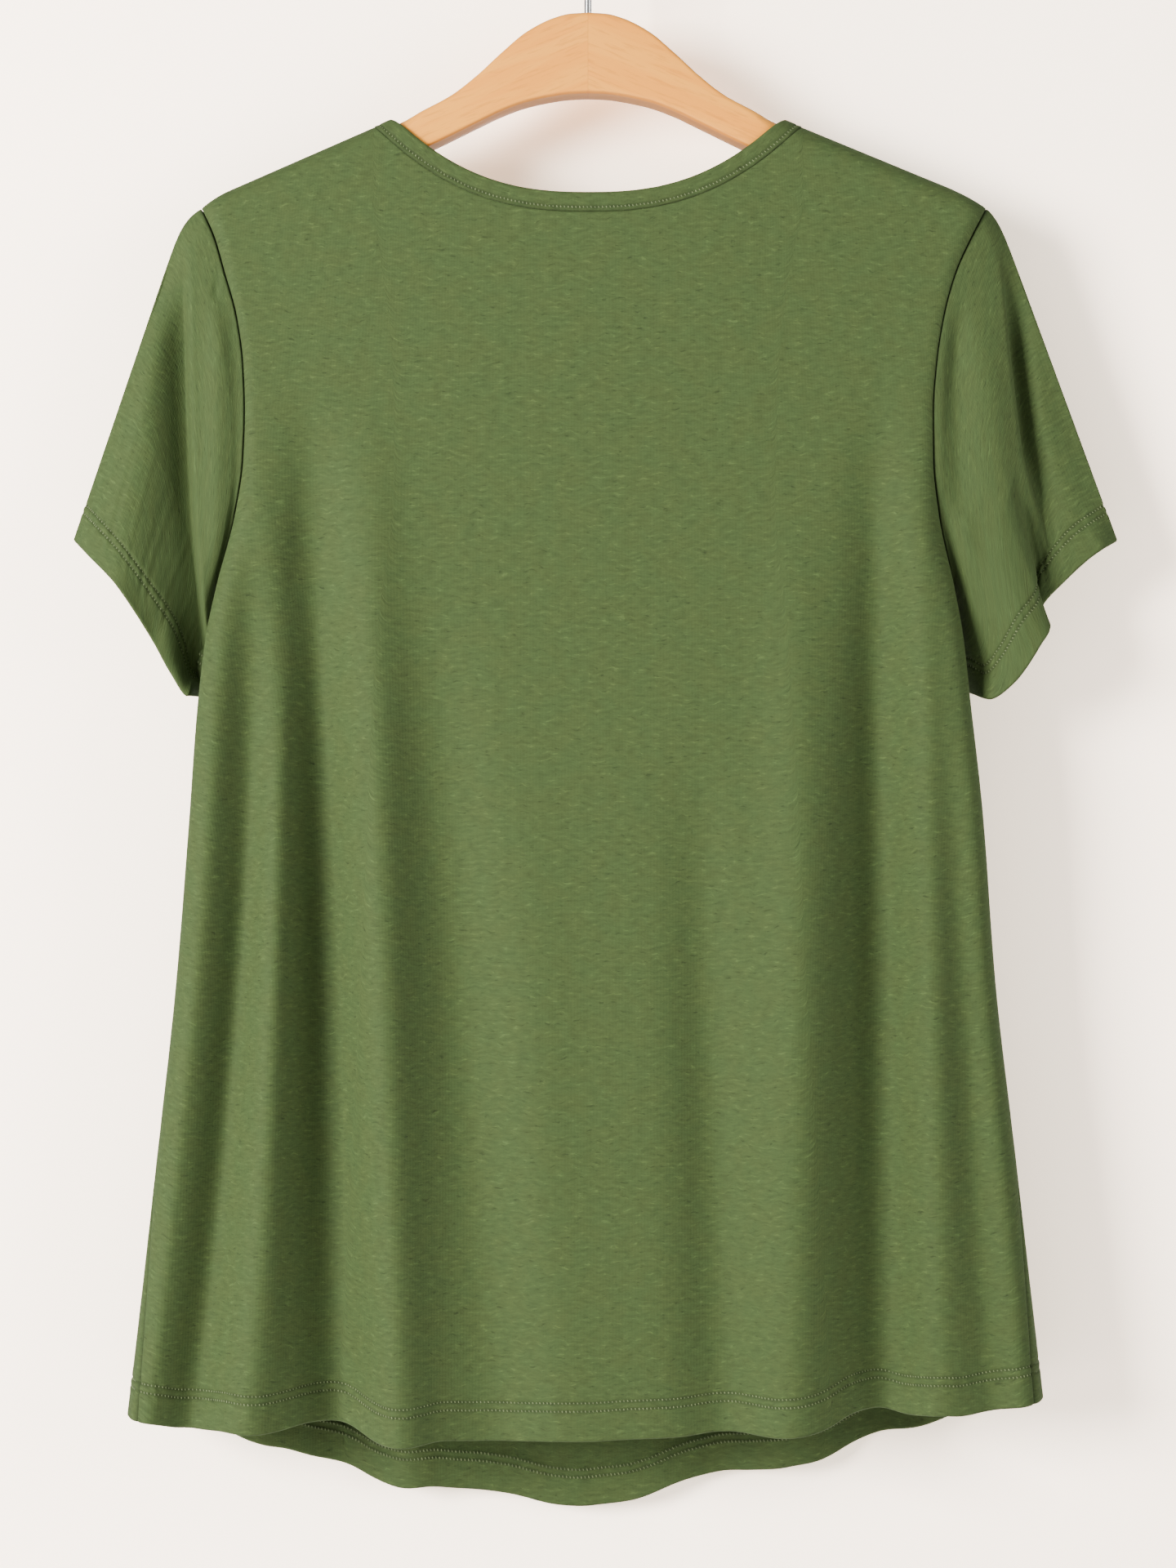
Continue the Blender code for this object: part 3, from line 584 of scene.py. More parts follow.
def sheet_mesh(name: str, outer: Array, inner: Array, closed: bool, flip: bool, uv: Array) -> bpy.types.Object:
    """Makes a closed sheet of cloth from its two faces, with a rounded rim at its first and last row.

    Args:
        name: the piece's name.
        outer: rows by columns of points on its outer face.
        inner: the same points on its inner face.
        closed: whether the last column joins the first.
        flip: whether the grid runs the other way round, as seen from outside.
        uv: the cloth's own coordinates in metres, with one column more than the points where closed.

    Returns:
        The new object.
    """
    first = between(outer[0], inner[0], outer[1] - outer[0])
    last = between(outer[-1], inner[-1], outer[-2] - outer[-1])
    loop = np.concatenate([outer, last[None], inner[::-1], first[None]])
    uv_loop = np.concatenate([uv, uv[-1:], uv[::-1], uv[:1]])
    rows, columns = loop.shape[:2]
    index = np.arange(rows * columns).reshape(rows, columns)
    uv_index = np.arange(uv_loop.shape[0] * uv_loop.shape[1]).reshape(uv_loop.shape[:2])
    if closed:
        index = wrapped(index)
    index, uv_index = (np.concatenate([grid, grid[:1]]) for grid in (index, uv_index))

    def quads(grid: Array) -> Array:
        """The four corners of each cell of a grid.

        Args:
            grid: rows by columns of corner numbers.

        Returns:
            One row of four numbers for each cell, turned round where the grid is.
        """
        corners = (grid[:-1, :-1], grid[1:, :-1], grid[1:, 1:], grid[:-1, 1:])
        cells = np.stack(corners, axis=-1).reshape(-1, 4)
        return cells[:, ::-1] if flip else cells

    faces, corners = quads(index).tolist(), quads(uv_index).ravel().tolist()
    if not closed:
        depth = len(outer)
        for column, turned in ((0, flip), (columns - 1, not flip)):
            line, uv_line = index[:, column], uv_index[:, column]
            cells = [(n, n + 1, rows - 3 - n, rows - 2 - n) for n in range(depth - 1)]
            cells += [(depth - 1, depth, depth + 1), (rows - 2, rows - 1, 0)]
            for cell in cells:
                cell = cell if turned else cell[::-1]
                faces.append([int(line[n]) for n in cell])
                corners += [int(uv_line[n]) for n in cell]
    mesh = bpy.data.meshes.new(name)
    mesh.from_pydata(loop.reshape(-1, 3).tolist(), [], faces)
    layer = mesh.uv_layers.new(name="cloth")
    layer.data.foreach_set("uv", uv_loop.reshape(-1, 2)[corners].astype(np.float32).ravel())
    mesh.shade_smooth()
    return link(name, mesh)


def link(name: str, mesh: bpy.types.Mesh) -> bpy.types.Object:
    """Puts a mesh in the scene.

    Args:
        name: the object's name.
        mesh: its mesh.

    Returns:
        The new object, at the origin.
    """
    piece = bpy.data.objects.new(name, mesh)
    bpy.context.scene.collection.objects.link(piece)
    return piece


def dress(piece: bpy.types.Object, material: bpy.types.Material, nodes: Sequence[str] = ()) -> None:
    """Gives a piece its material and its body, and hides the solids that it stands for.

    Args:
        piece: the finished piece.
        material: its material.
        nodes: the solids that it replaces.
    """
    piece.data.materials.clear()
    piece.data.materials.append(material)
    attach(piece, ROOT)
    if nodes:
        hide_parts(*nodes)
    log.info("%s: %d vertices", piece.name, len(piece.data.vertices))


class Ripple:
    """A smooth line of small waves that never repeats, drawn from a fixed seed."""

    def __init__(self, seed: int, shortest: float, longest: float, waves: int = 9) -> None:
        """Draws the waves' lengths and starts.

        Args:
            seed: the fixed seed.
            shortest: the shortest wave's length.
            longest: the longest wave's length.
            waves: how many waves are added up.
        """
        draw = np.random.default_rng(seed)
        self.lengths = shortest * (longest / shortest) ** draw.random(waves)
        self.starts = draw.random(waves) * 2 * math.pi

    def at(self, place: Array) -> Array:
        """The height of the line at each place, about -1 to 1."""
        waves = np.sin(2 * math.pi * np.asarray(place)[..., None] / self.lengths + self.starts)
        return waves.sum(axis=-1) / math.sqrt(len(self.lengths))


class Tree:
    """A small helper that adds and joins nodes in one tree."""

    def __init__(self, tree: bpy.types.NodeTree) -> None:
        """Keeps the tree that the nodes go into."""
        self.tree = tree

    def fill(self, node: bpy.types.Node, **inputs: object) -> bpy.types.Node:
        """Gives a node's inputs their values, or joins sockets to them.

        Args:
            node: the node.
            inputs: values or sockets, by the input's name with _ for a space, or i0, i1 for one by its number.

        Returns:
            The same node.
        """
        for key, value in inputs.items():
            by_number = key[0] == "i" and key[1:].isdigit()
            socket = node.inputs[int(key[1:]) if by_number else key.replace("_", " ")]
            if isinstance(value, bpy.types.NodeSocket):
                self.tree.links.new(value, socket)
            else:
                socket.default_value = value
        return node

    def add(self, kind: str, settings: dict | None = None, **inputs: object) -> bpy.types.Node:
        """Adds a node.

        Args:
            kind: the node's type.
            settings: its properties.
            inputs: its inputs, as fill takes them.

        Returns:
            The new node.
        """
        node = self.tree.nodes.new(kind)
        for key, value in (settings or {}).items():
            setattr(node, key, value)
        return self.fill(node, **inputs)

    def maths(self, operation: str, a: object, b: object = 0.0, c: object = 0.0) -> bpy.types.NodeSocket:
        """Adds a Math node and gives its output."""
        return self.add("ShaderNodeMath", {"operation": operation}, i0=a, i1=b, i2=c).outputs[0]

    def vector(self, operation: str, **inputs: object) -> bpy.types.NodeSocket:
        """Adds a Vector Math node and gives its vector."""
        return self.add("ShaderNodeVectorMath", {"operation": operation}, **inputs).outputs[0]

    def noise(self, place: bpy.types.NodeSocket, scale: float, detail: float, **more: float) -> bpy.types.NodeSocket:
        """Adds a noise texture and gives its value."""
        return self.add("ShaderNodeTexNoise", Vector=place, Scale=scale, Detail=detail, **more).outputs[0]

    def mix(self, share: object, a: object, b: object) -> bpy.types.NodeSocket:
        """Mixes two colours and gives the result."""
        return self.add("ShaderNodeMix", {"data_type": "RGBA"}, i0=share, i6=a, i7=b).outputs[2]

    def ramp(self, value: bpy.types.NodeSocket, low: float, high: float) -> bpy.types.NodeSocket:
        """Stretches a value from low and high to 0 and 1, smoothly."""
        settings = {"interpolation_type": "SMOOTHSTEP"}
        return self.add("ShaderNodeMapRange", settings, Value=value, From_Min=low, From_Max=high).outputs[0]


def new_group(
    name: str, kind: str, inputs: Sequence[tuple], outputs: Sequence[tuple],
) -> tuple[Tree, bpy.types.Node, bpy.types.Node]:
    """Starts a node group.

    Args:
        name: the group's name.
        kind: the type of its tree.
        inputs: its inputs as (name, socket type).
        outputs: its outputs as (name, socket type).

    Returns:
        The tree, its input node and its output node.
    """
    group = bpy.data.node_groups.new(name, kind)
    for way, sockets in (("INPUT", inputs), ("OUTPUT", outputs)):
        for label, socket_type in sockets:
            group.interface.new_socket(label, in_out=way, socket_type=socket_type)
    return Tree(group), group.nodes.new("NodeGroupInput"), group.nodes.new("NodeGroupOutput")


@dataclass(frozen=True)
class Finish:
    """What every finish shares: its name, its roughness and how its material is started."""

    name: str
    roughness: float

    def start(self, **plain: object) -> tuple[bpy.types.Material, Tree, bpy.types.Node]:
        """Starts the material.

        Args:
            plain: what is the same all over, by the shader's inputs with _ for a space.

        Returns:
            The material, its tree and its shader.
        """
        made = bpy.data.materials.new(self.name)
        made.use_nodes = True
        tree, shader = Tree(made.node_tree), made.node_tree.nodes["Principled BSDF"]
        return made, tree, tree.fill(shader, Roughness=self.roughness, **plain)


@dataclass(frozen=True)
class Knit:
    """Fine flecked jersey in the cloth's own coordinates: patches, light and dark flecks, wales and courses."""

    name: str = "fine_jersey"
    patch_scale: float = 60.0
    patch_edges: tuple = (0.32, 0.68)
    bend_scale: float = 150.0
    bend: tuple = (0.0012, 0.0034, 0.0)
    streak: tuple = (0.28, 1.0, 1.0)
    streak_turn: float = 0.03
    light_scale: float = 560.0
    light_edges: tuple = (0.60, 0.72)
    light_range: tuple = (0.33, 0.67)
    dark_scale: float = 640.0
    dark_edges: tuple = (0.60, 0.74)
    flecks_apart: tuple = (0.71, 0.37, 0.0)
    wale_scale: float = 190.0
    wale_height: float = 0.35
    wale_waver: float = 1.2
    course_scale: float = 900.0
    course_height: float = 0.65

    def group(self) -> bpy.types.NodeTree:
        """Builds the group.

        Returns:
            A group that gives the knit's colour and its height.
        """
        numbers = [(label, "NodeSocketFloat") for label in ("Fleck", "Mottle")]
        colours = [(label, "NodeSocketColor") for label in ("Olive", "Green")]
        tree, given, out = new_group(
            self.name, "ShaderNodeTree", [("Place", "NodeSocketVector"), *colours, *numbers],
            [("Color", "NodeSocketColor"), ("Height", "NodeSocketFloat")],
        )
        place = given.outputs["Place"]
        patches = tree.ramp(tree.noise(place, self.patch_scale, 3.0, Roughness=0.6), *self.patch_edges)
        share = tree.maths("MULTIPLY", patches, given.outputs["Mottle"])
        base = tree.mix(share, given.outputs["Olive"], given.outputs["Green"])
        bend = tree.add("ShaderNodeTexNoise", Vector=place, Scale=self.bend_scale, Detail=1.0).outputs["Color"]
        streaks = tree.add("ShaderNodeMapping", Vector=place, Scale=self.streak, Rotation=(0, 0, self.streak_turn))
        shifted = tree.vector("MULTIPLY_ADD", i0=bend, i1=self.bend, i2=streaks.outputs[0])
        light = tree.noise(shifted, self.light_scale, 2.5, Roughness=0.65)
        moved = tree.vector("ADD", i0=shifted, i1=self.flecks_apart)
        dark = tree.noise(moved, self.dark_scale, 2.0, Roughness=0.6)
        low, high = self.light_range
        even = tree.add("ShaderNodeMapRange", Value=light, From_Min=low, From_Max=high, To_Min=-0.5, To_Max=0.5)
        change = tree.maths("ADD", even.outputs[0], tree.ramp(light, *self.light_edges))
        change = tree.maths("SUBTRACT", change, tree.ramp(dark, *self.dark_edges))
        flecks = tree.maths("MULTIPLY_ADD", change, given.outputs["Fleck"], 1.0)
        wales = tree.add("ShaderNodeTexWave", {"wave_type": "BANDS", "bands_direction": "X"}, Vector=place,
                         Scale=self.wale_scale, Distortion=self.wale_waver, Detail=1.0, Detail_Scale=2.0).outputs["Fac"]
        courses = tree.maths("MULTIPLY", tree.noise(shifted, self.course_scale, 1.0), self.course_height)
        height = tree.maths("ADD", tree.maths("MULTIPLY", wales, self.wale_height), courses)
        tree.fill(out, Color=tree.vector("SCALE", i0=base, Scale=flecks), Height=tree.maths("ADD", height, change))
        return tree.tree


@dataclass(frozen=True)
class Jersey(Finish):
    """The green cotton jersey: its two close shades, its flecks, its soft surface and the painted shade along its
    stitch rows and seams.
    """

    name: str = "green_jersey"
    roughness: float = 0.82
    olive: tuple = (0.0460, 0.0700, 0.0207, 1)
    green: tuple = (0.0430, 0.0705, 0.0214, 1)
    fleck: float = 0.32
    mottle: float = 1.0
    # painted shade: how far the colour is darkened where stitch rows and seams throw their shade
    painted_groove_shade: float = 0.34
    sheen: float = 0.12
    sheen_roughness: float = 0.4
    sheen_tint: tuple = (0.45, 0.60, 0.30, 1)
    specular: float = 0.2
    bump_strength: float = 0.5
    bump_height: float = 0.16 * MM

    def material(self) -> bpy.types.Material:
        """Builds the material.

        Returns:
            The material, which reads the cloth's own map, and darkens its colour by the stored groove amount as painted
            shade.
        """
        made, tree, shader = self.start(
            Sheen_Weight=self.sheen, Sheen_Roughness=self.sheen_roughness, Sheen_Tint=self.sheen_tint,
            Specular_IOR_Level=self.specular,
        )
        place = tree.add("ShaderNodeUVMap", {"uv_map": "cloth"}).outputs[0]
        knit = tree.add("ShaderNodeGroup", {"node_tree": Knit().group()}, Place=place, Olive=self.olive,
                        Green=self.green, Fleck=self.fleck, Mottle=self.mottle)
        bump = tree.add("ShaderNodeBump", Strength=self.bump_strength, Distance=self.bump_height,
                        Height=knit.outputs["Height"])
        # painted shade: the groove amount darkens the knit's colour along stitch rows and seams
        groove = tree.add("ShaderNodeAttribute", {"attribute_name": "groove"}).outputs["Fac"]
        light = tree.maths("SUBTRACT", 1.0, tree.maths("MULTIPLY", groove, self.painted_groove_shade))
        shaded = tree.vector("SCALE", i0=knit.outputs["Color"], Scale=light)
        tree.fill(shader, Base_Color=shaded, Normal=bump.outputs[0])
        return made


@dataclass(frozen=True)
class Thread(Finish):
    """The sewing thread, a shade lighter than the cloth."""

    name: str = "green_thread"
    roughness: float = 0.6
    pale: tuple = (0.105, 0.140, 0.052, 1)
    deep: tuple = (0.068, 0.096, 0.032, 1)
    shade_scale: float = 260.0
    shade_edges: tuple = (0.35, 0.65)

    def material(self) -> bpy.types.Material:
        """Builds the material.

        Returns:
            The material, whose shade changes a little from stitch to stitch.
        """
        made, tree, shader = self.start()
        noise = tree.noise(tree.add("ShaderNodeTexCoord").outputs["Object"], self.shade_scale, 1.0)
        tree.fill(shader, Base_Color=tree.mix(tree.ramp(noise, *self.shade_edges), self.deep, self.pale))
        return made


@dataclass(frozen=True)
class LacqueredWood(Finish):
    """Clear-lacquered pale wood whose grain runs along each arm and meets at the glue line in the middle, with painted
    shade on the faces that turn down.
    """

    name: str = "lacquered_wood"
    roughness: float = 0.38
    pale: tuple = (0.95, 0.380, 0.031, 1)
    warm: tuple = (0.91, 0.335, 0.022, 1)
    deep: tuple = (0.56, 0.17, 0.014, 1)
    # painted shade: the darker colour given to the faces that turn down
    shade: tuple = (0.40, 0.11, 0.008, 1)
    painted_underside_shade: float = 0.6
    painted_underside_edges: tuple = (0.25, 0.75)
    arm_slope: float = 0.40
    halves_apart: float = 13 * MM
    grain_stretch: float = 0.10
    ring_scale: float = 95.0
    ring_edges: tuple = (0.40, 0.62)
    pore_scale: float = 620.0
    pore_edges: tuple = (0.50, 0.70)
    broad_scale: float = 28.0
    broad_edges: tuple = (0.45, 0.62)
    pore_share: float = 0.35
    broad_share: float = 0.35
    glue_line: tuple = (0.1 * MM, 0.5 * MM)
    glue_front: float = 0.22
    glue_under: float = 0.55
    coat: float = 0.12
    coat_roughness: float = 0.22
    bump_strength: float = 0.2
    bump_height: float = 0.1 * MM

    def material(self) -> bpy.types.Material:
        """Builds the material.

        Returns:
            The material, in object coordinates mirrored about the middle.
        """
        made, tree, shader = self.start(Coat_Weight=self.coat, Coat_Roughness=self.coat_roughness)
        split = tree.add("ShaderNodeSeparateXYZ", Vector=tree.add("ShaderNodeTexCoord").outputs["Object"])
        x, y, z = split.outputs
        run = tree.maths("ABSOLUTE", x)
        along = tree.maths("SUBTRACT", run, tree.maths("MULTIPLY", z, self.arm_slope))
        over = tree.maths("ADD", z, tree.maths("MULTIPLY", run, self.arm_slope))
        over = tree.maths("ADD", over, tree.maths("MULTIPLY", tree.maths("SIGN", x), self.halves_apart))
        along = tree.maths("MULTIPLY", along, self.grain_stretch)
        grain = tree.add("ShaderNodeCombineXYZ", X=along, Y=y, Z=over).outputs[0]
        rings = tree.noise(grain, self.ring_scale, 3.0, Roughness=0.55, Distortion=0.6)
        pores = tree.noise(grain, self.pore_scale, 3.0, Roughness=0.6)
        broad = tree.noise(grain, self.broad_scale, 1.0)
        colour = tree.mix(tree.ramp(rings, *self.ring_edges), self.pale, self.warm)
        deeper = tree.maths("MULTIPLY", tree.ramp(pores, *self.pore_edges), self.pore_share)
        warmer = tree.maths("MULTIPLY", tree.ramp(broad, *self.broad_edges), self.broad_share)
        colour = tree.mix(warmer, tree.mix(deeper, colour, self.deep), self.warm)
        # painted shade: faces that turn down are mixed towards the shade colour; the same mask makes the glue line show
        # more there
        facing = tree.add("ShaderNodeSeparateXYZ", Vector=tree.add("ShaderNodeNewGeometry").outputs["Normal"])
        under = tree.ramp(tree.maths("MULTIPLY", facing.outputs[2], -1.0), *self.painted_underside_edges)
        colour = tree.mix(tree.maths("MULTIPLY", under, self.painted_underside_shade), colour, self.shade)
        line = tree.maths("SUBTRACT", 1.0, tree.ramp(run, *self.glue_line))
        strength = tree.maths("MULTIPLY_ADD", under, self.glue_under, self.glue_front)
        colour = tree.mix(tree.maths("MULTIPLY", line, strength), colour, self.deep)
        bump = tree.add("ShaderNodeBump", Strength=self.bump_strength, Distance=self.bump_height, Height=pores)
        tree.fill(shader, Base_Color=colour, Normal=bump.outputs[0])
        return made


@dataclass(frozen=True)
class PlatedSteel(Finish):
    """Bright plated steel with faint lines from drawing the wire, and a painted dark reflection at the edges of the
    wire as seen.
    """

    name: str = "plated_steel"
    roughness: float = 0.18
    mark_roughness: float = 0.1
    mark_scale: float = 900.0
    mark_stretch: tuple = (1.0, 1.0, 0.06)
    colour: tuple = (0.62, 0.62, 0.63, 1)
    # painted reflection: the dark colour that the wire turns to at its edges
    rim: tuple = (0.13, 0.12, 0.11, 1)
    painted_reflection_edges: tuple = (0.45, 0.95)

    def material(self) -> bpy.types.Material:
        """Builds the material.

        Returns:
            The material, in object coordinates, with a painted dark reflection at its edges.
        """
        made, tree, shader = self.start(Metallic=1.0)
        place = tree.add("ShaderNodeTexCoord").outputs["Object"]
        drawn = tree.add("ShaderNodeMapping", Vector=place, Scale=self.mark_stretch).outputs[0]
        marks = tree.noise(drawn, self.mark_scale, 2.0)
        rough = tree.add("ShaderNodeMapRange", Value=marks, To_Min=self.roughness,
                         To_Max=self.roughness + self.mark_roughness)
        # painted reflection: the colour darkens where the surface turns away from the view
        rim = tree.ramp(tree.add("ShaderNodeLayerWeight", Blend=0.5).outputs["Facing"], *self.painted_reflection_edges)
        tree.fill(shader, Roughness=rough.outputs[0], Base_Color=tree.mix(rim, self.colour, self.rim))
        return made


@dataclass
class StitchRow:
    """One row of stitches: where it runs and which way each stitch faces."""

    points: Array
    normals: Array
    closed: bool


@dataclass
class Stitching:
    """Rows of small slanted stitches, laid along their paths by Geometry Nodes."""

    pitch: float = 2.0 * MM
    length: float = 0.8 * MM
    width: float = 1.7 * MM
    height: float = 0.6 * MM
    slant: float = math.radians(16)
    bead_sides: int = 7
    bead_rings: int = 5
    smallest: tuple = (0.86, 0.85, 0.8)
    largest: tuple = (1.1, 1.12, 1.1)
    seed: int = 11
    inputs: tuple = ("pitch", "length", "width", "height", "slant")

    def tree(self, material: bpy.types.Material) -> bpy.types.NodeTree:
        """Builds the tree that sets a stitch at every step of a path.

        Args:
            material: the thread's material.

        Returns:
            The Geometry Nodes tree, with the stitch's sizes as named inputs.
        """
        shape = [("Geometry", "NodeSocketGeometry")]
        sizes = [(label.capitalize(), "NodeSocketFloat") for label in self.inputs]
        tree, given, out = new_group("stitch_rows", "GeometryNodeTree", shape + sizes, shape)
        curve = tree.add("GeometryNodeMeshToCurve", Mesh=given.outputs["Geometry"]).outputs[0]
        even = tree.add("GeometryNodeResampleCurve", {"mode": "LENGTH"}, Curve=curve, Length=given.outputs["Pitch"])
        spots = tree.add("GeometryNodeCurveToPoints", {"mode": "EVALUATED"}, Curve=even.outputs[0])
        lie = tree.add("GeometryNodeInputNamedAttribute", {"data_type": "FLOAT_VECTOR"}, Name="lie")
        ahead = tree.add("FunctionNodeAlignRotationToVector", {"axis": "X"}, Vector=spots.outputs["Tangent"])
        facing = tree.add("FunctionNodeAlignRotationToVector", {"axis": "Z", "pivot_axis": "X"},
                          Rotation=ahead.outputs[0], Vector=lie.outputs["Attribute"])
        spin = tree.add("ShaderNodeCombineXYZ", Z=given.outputs["Slant"])
        turn = tree.add("FunctionNodeEulerToRotation", i0=spin.outputs[0])
        turned = tree.add("FunctionNodeRotateRotation", {"rotation_space": "LOCAL"}, i0=facing.outputs[0],
                          i1=turn.outputs[0])
        bead = tree.add("GeometryNodeMeshUVSphere", Segments=self.bead_sides, Rings=self.bead_rings, Radius=0.5)
        size = tree.add("ShaderNodeCombineXYZ", X=given.outputs["Length"], Y=given.outputs["Width"],
                        Z=given.outputs["Height"])
        stitch = tree.add("GeometryNodeTransform", Geometry=bead.outputs[0], Scale=size.outputs[0]).outputs[0]
        vary = tree.add("FunctionNodeRandomValue", {"data_type": "FLOAT_VECTOR"}, i0=self.smallest,
                        i1=self.largest, Seed=self.seed)
        laid = tree.add("GeometryNodeInstanceOnPoints", Points=spots.outputs[0], Instance=stitch,
                        Rotation=turned.outputs[0], Scale=vary.outputs[0])
        real = tree.add("GeometryNodeRealizeInstances", Geometry=laid.outputs[0])
        smooth = tree.add("GeometryNodeSetShadeSmooth", Geometry=real.outputs[0])
        dressed = tree.add("GeometryNodeSetMaterial", Geometry=smooth.outputs[0], Material=material)
        tree.fill(out, Geometry=dressed.outputs[0])
        return tree.tree

    def sew(self, name: str, rows: Sequence[StitchRow], material: bpy.types.Material) -> bpy.types.Object:
        """Lays stitches along rows and turns them into one plain mesh.

        Args:
            name: the piece's name.
            rows: the rows to sew.
            material: the thread's material.

        Returns:
            The stitches as one object.
        """
        points, normals, edges = [], [], []
        for row in rows:
            start = len(points)
            points += row.points.tolist()
            normals += row.normals.tolist()
            edges += [(start + n, start + n + 1) for n in range(len(row.points) - 1)]
            if row.closed:
                edges.append((start + len(row.points) - 1, start))
        path = bpy.data.meshes.new(name + "_path")
        path.from_pydata(points, edges, [])
        lie = path.attributes.new("lie", "FLOAT_VECTOR", "POINT")
        lie.data.foreach_set("vector", np.array(normals, np.float32).ravel())
        guide = link(name + "_path", path)
        modifier = guide.modifiers.new("stitches", "NODES")
        modifier.node_group = self.tree(material)
        for item in modifier.node_group.interface.items_tree:
            if item.in_out == "INPUT" and item.name.lower() in self.inputs:
                modifier[item.identifier] = getattr(self, item.name.lower())
        bpy.context.view_layer.update()
        evaluated = guide.evaluated_get(bpy.context.evaluated_depsgraph_get())
        mesh = bpy.data.meshes.new_from_object(evaluated)
        bpy.data.objects.remove(guide)
        return link(name, mesh)


# The heights in millimetres above a hem's edge where its grid has rows, and those of the twin needle's two rows.
HEM_HEIGHTS = (22, 20.6, 20.1, 19.6, 19.1, 18.6, 18.0, 17.0, 16.0, 15.4, 14.9, 14.4, 13.9, 13.3, 12, 10, 8, 6, 4.2,
               2.7, 1.5, 0.6, 0)
UPPER_ROW = 19.1 * MM
LOWER_ROW = 14.9 * MM


class Cut(NamedTuple):
    """The flat size of the cloth that shows, with its area where it isn't a rectangle."""

    width: float
    length: float
    area: float | None = None


@dataclass
class Cloth:
    """What every piece of cloth shares: its thickness, its seams, its hem and how it is made into a sheet."""

    form: ShirtForm
    name: str = ""
    node: str = ""
    seed: int = 0
    cut: Cut = Cut(0.0, 0.0)
    rests_on: tuple = ("back_panel_cloth", "front_panel_cloth")
    thickness: float = 0.85 * MM
    hem_thickness: float = 1.7 * MM
    double_from: float = 1.9 * MM
    double_full: float = 1.4 * MM
    seam_reach: float = 1.5 * MM
    seam_depth: float = 0.8 * MM
    seam_trim: float = 0.12 * MM
    stitch_sink: float = 0.55 * MM
    stitch_sink_width: float = 0.9 * MM
    turn_step: float = 0.15 * MM
    # groove_width and seam_shade are the widths of the painted shade along stitch rows and seams
    groove_width: float = 0.8 * MM
    seam_shade: float = 0.9 * MM
    pucker: float = 0.22 * MM
    pucker_reach: float = 7 * MM
    pucker_slant: float = 0.35
    short_puckers: tuple = (5 * MM, 11 * MM)
    wide_puckers: tuple = (16 * MM, 42 * MM)
    wide_share: float = 0.8
    stitch_rows: list = field(default_factory=list)

    def hem_relief(self, height: Array, along: Array) -> Array:
        """How far a hem's outer face stands out or sinks in at each point.

        Args:
            height: the height above the hem's edge.
            along: the distance along the hem.

        Returns:
            The move along the outward direction.
        """
        sink = sum(bell(height - row, self.stitch_sink_width) for row in (UPPER_ROW, LOWER_ROW))
        near = bell(height - (UPPER_ROW + LOWER_ROW) / 2, self.pucker_reach)
        short = Ripple(self.seed, *self.short_puckers).at(along + height * self.pucker_slant)
        wide = Ripple(self.seed + 1, *self.wide_puckers).at(along)
        below = (height < UPPER_ROW) * 1.0
        puckers = self.pucker * (short * near + wide * self.wide_share * near)
        return puckers - self.stitch_sink * sink + self.turn_step * below

    def hem_groove(self, height: Array) -> Array:
        """How much of a hem's cloth lies in the shade of its stitch rows, from 0 to 1."""
        return sum(bell(height - row, self.groove_width) for row in (UPPER_ROW, LOWER_ROW))

    def seam_groove(self, distance: Array) -> Array:
        """How much of the cloth lies in the shade of a seam at a distance from it, from 0 to 1."""
        return bell(distance, self.seam_shade)

    def hem_wall(self, height: Array) -> Array:
        """The thickness at each height above a hem's edge, which is doubled where the hem is turned up."""
        doubled = ease(-height, -(UPPER_ROW + self.double_from), -(UPPER_ROW + self.double_full))
        return self.thickness + (self.hem_thickness - self.thickness) * doubled

    def note_stitches(self, wanted: Sequence[float], heights: Array, outer: Array, normals: Array,
                      thickness: Array, closed: bool) -> None:
        """Notes where rows of stitches run, on both faces of the cloth.

        Args:
            wanted: each row's height.
            heights: the height of every point.
            outer: the points of the outer face.
            normals: their outward directions.
            thickness: the cloth's thickness at each.
            closed: whether the rows are rings; open ones end a little before the side seams.
        """
        span = slice(None) if closed else slice(2, -2)
        for height in wanted:
            row = int(np.argmin(np.abs(heights[:, 0] - height)))
            inside = outer[row] - normals[row] * thickness[row][:, None]
            self.stitch_rows.append(StitchRow(outer[row, span], normals[row, span], closed))
            self.stitch_rows.append(StitchRow(inside[span], -normals[row, span], closed))

    def sheet(self, points: Array, normals: Array, thickness: Array, closed: bool, flip: bool, uv: Array,
              groove: Array) -> bpy.types.Object:
        """Makes the piece.

        Args:
            points: the points of its outer face.
            normals: their outward directions.
            thickness: its thickness at each.
            closed: whether the last column joins the first.
            flip: whether the grid runs the other way round, as seen from outside.
            uv: the cloth's own coordinates in metres.
            groove: how much of the cloth lies in a groove's shade.

        Returns:
            The piece as one sheet.
        """
        piece = sheet_mesh(self.name, points, points - normals * thickness[..., None], closed, flip, uv)
        # painted shade: the groove amount is stored on every point for the jersey to darken its colour with
        shade = np.clip(np.concatenate([groove, groove[-1:], groove[::-1], groove[:1]]), 0, 1)
        layer = piece.data.attributes.new("groove", "FLOAT", "POINT")
        layer.data.foreach_set("value", shade.astype(np.float32).ravel())
        return piece

    def finish(self, piece: bpy.types.Object, jersey: bpy.types.Material, thread: bpy.types.Material) -> None:
        """Dresses the sheet and sews its stitches.

        Args:
            piece: the sheet.
            jersey: the cloth's material.
            thread: the stitches' material.
        """
        dress(piece, jersey, [self.node])
        stitches = Stitching().sew(self.node + "_stitches", self.stitch_rows, thread)
        dress(stitches, thread)


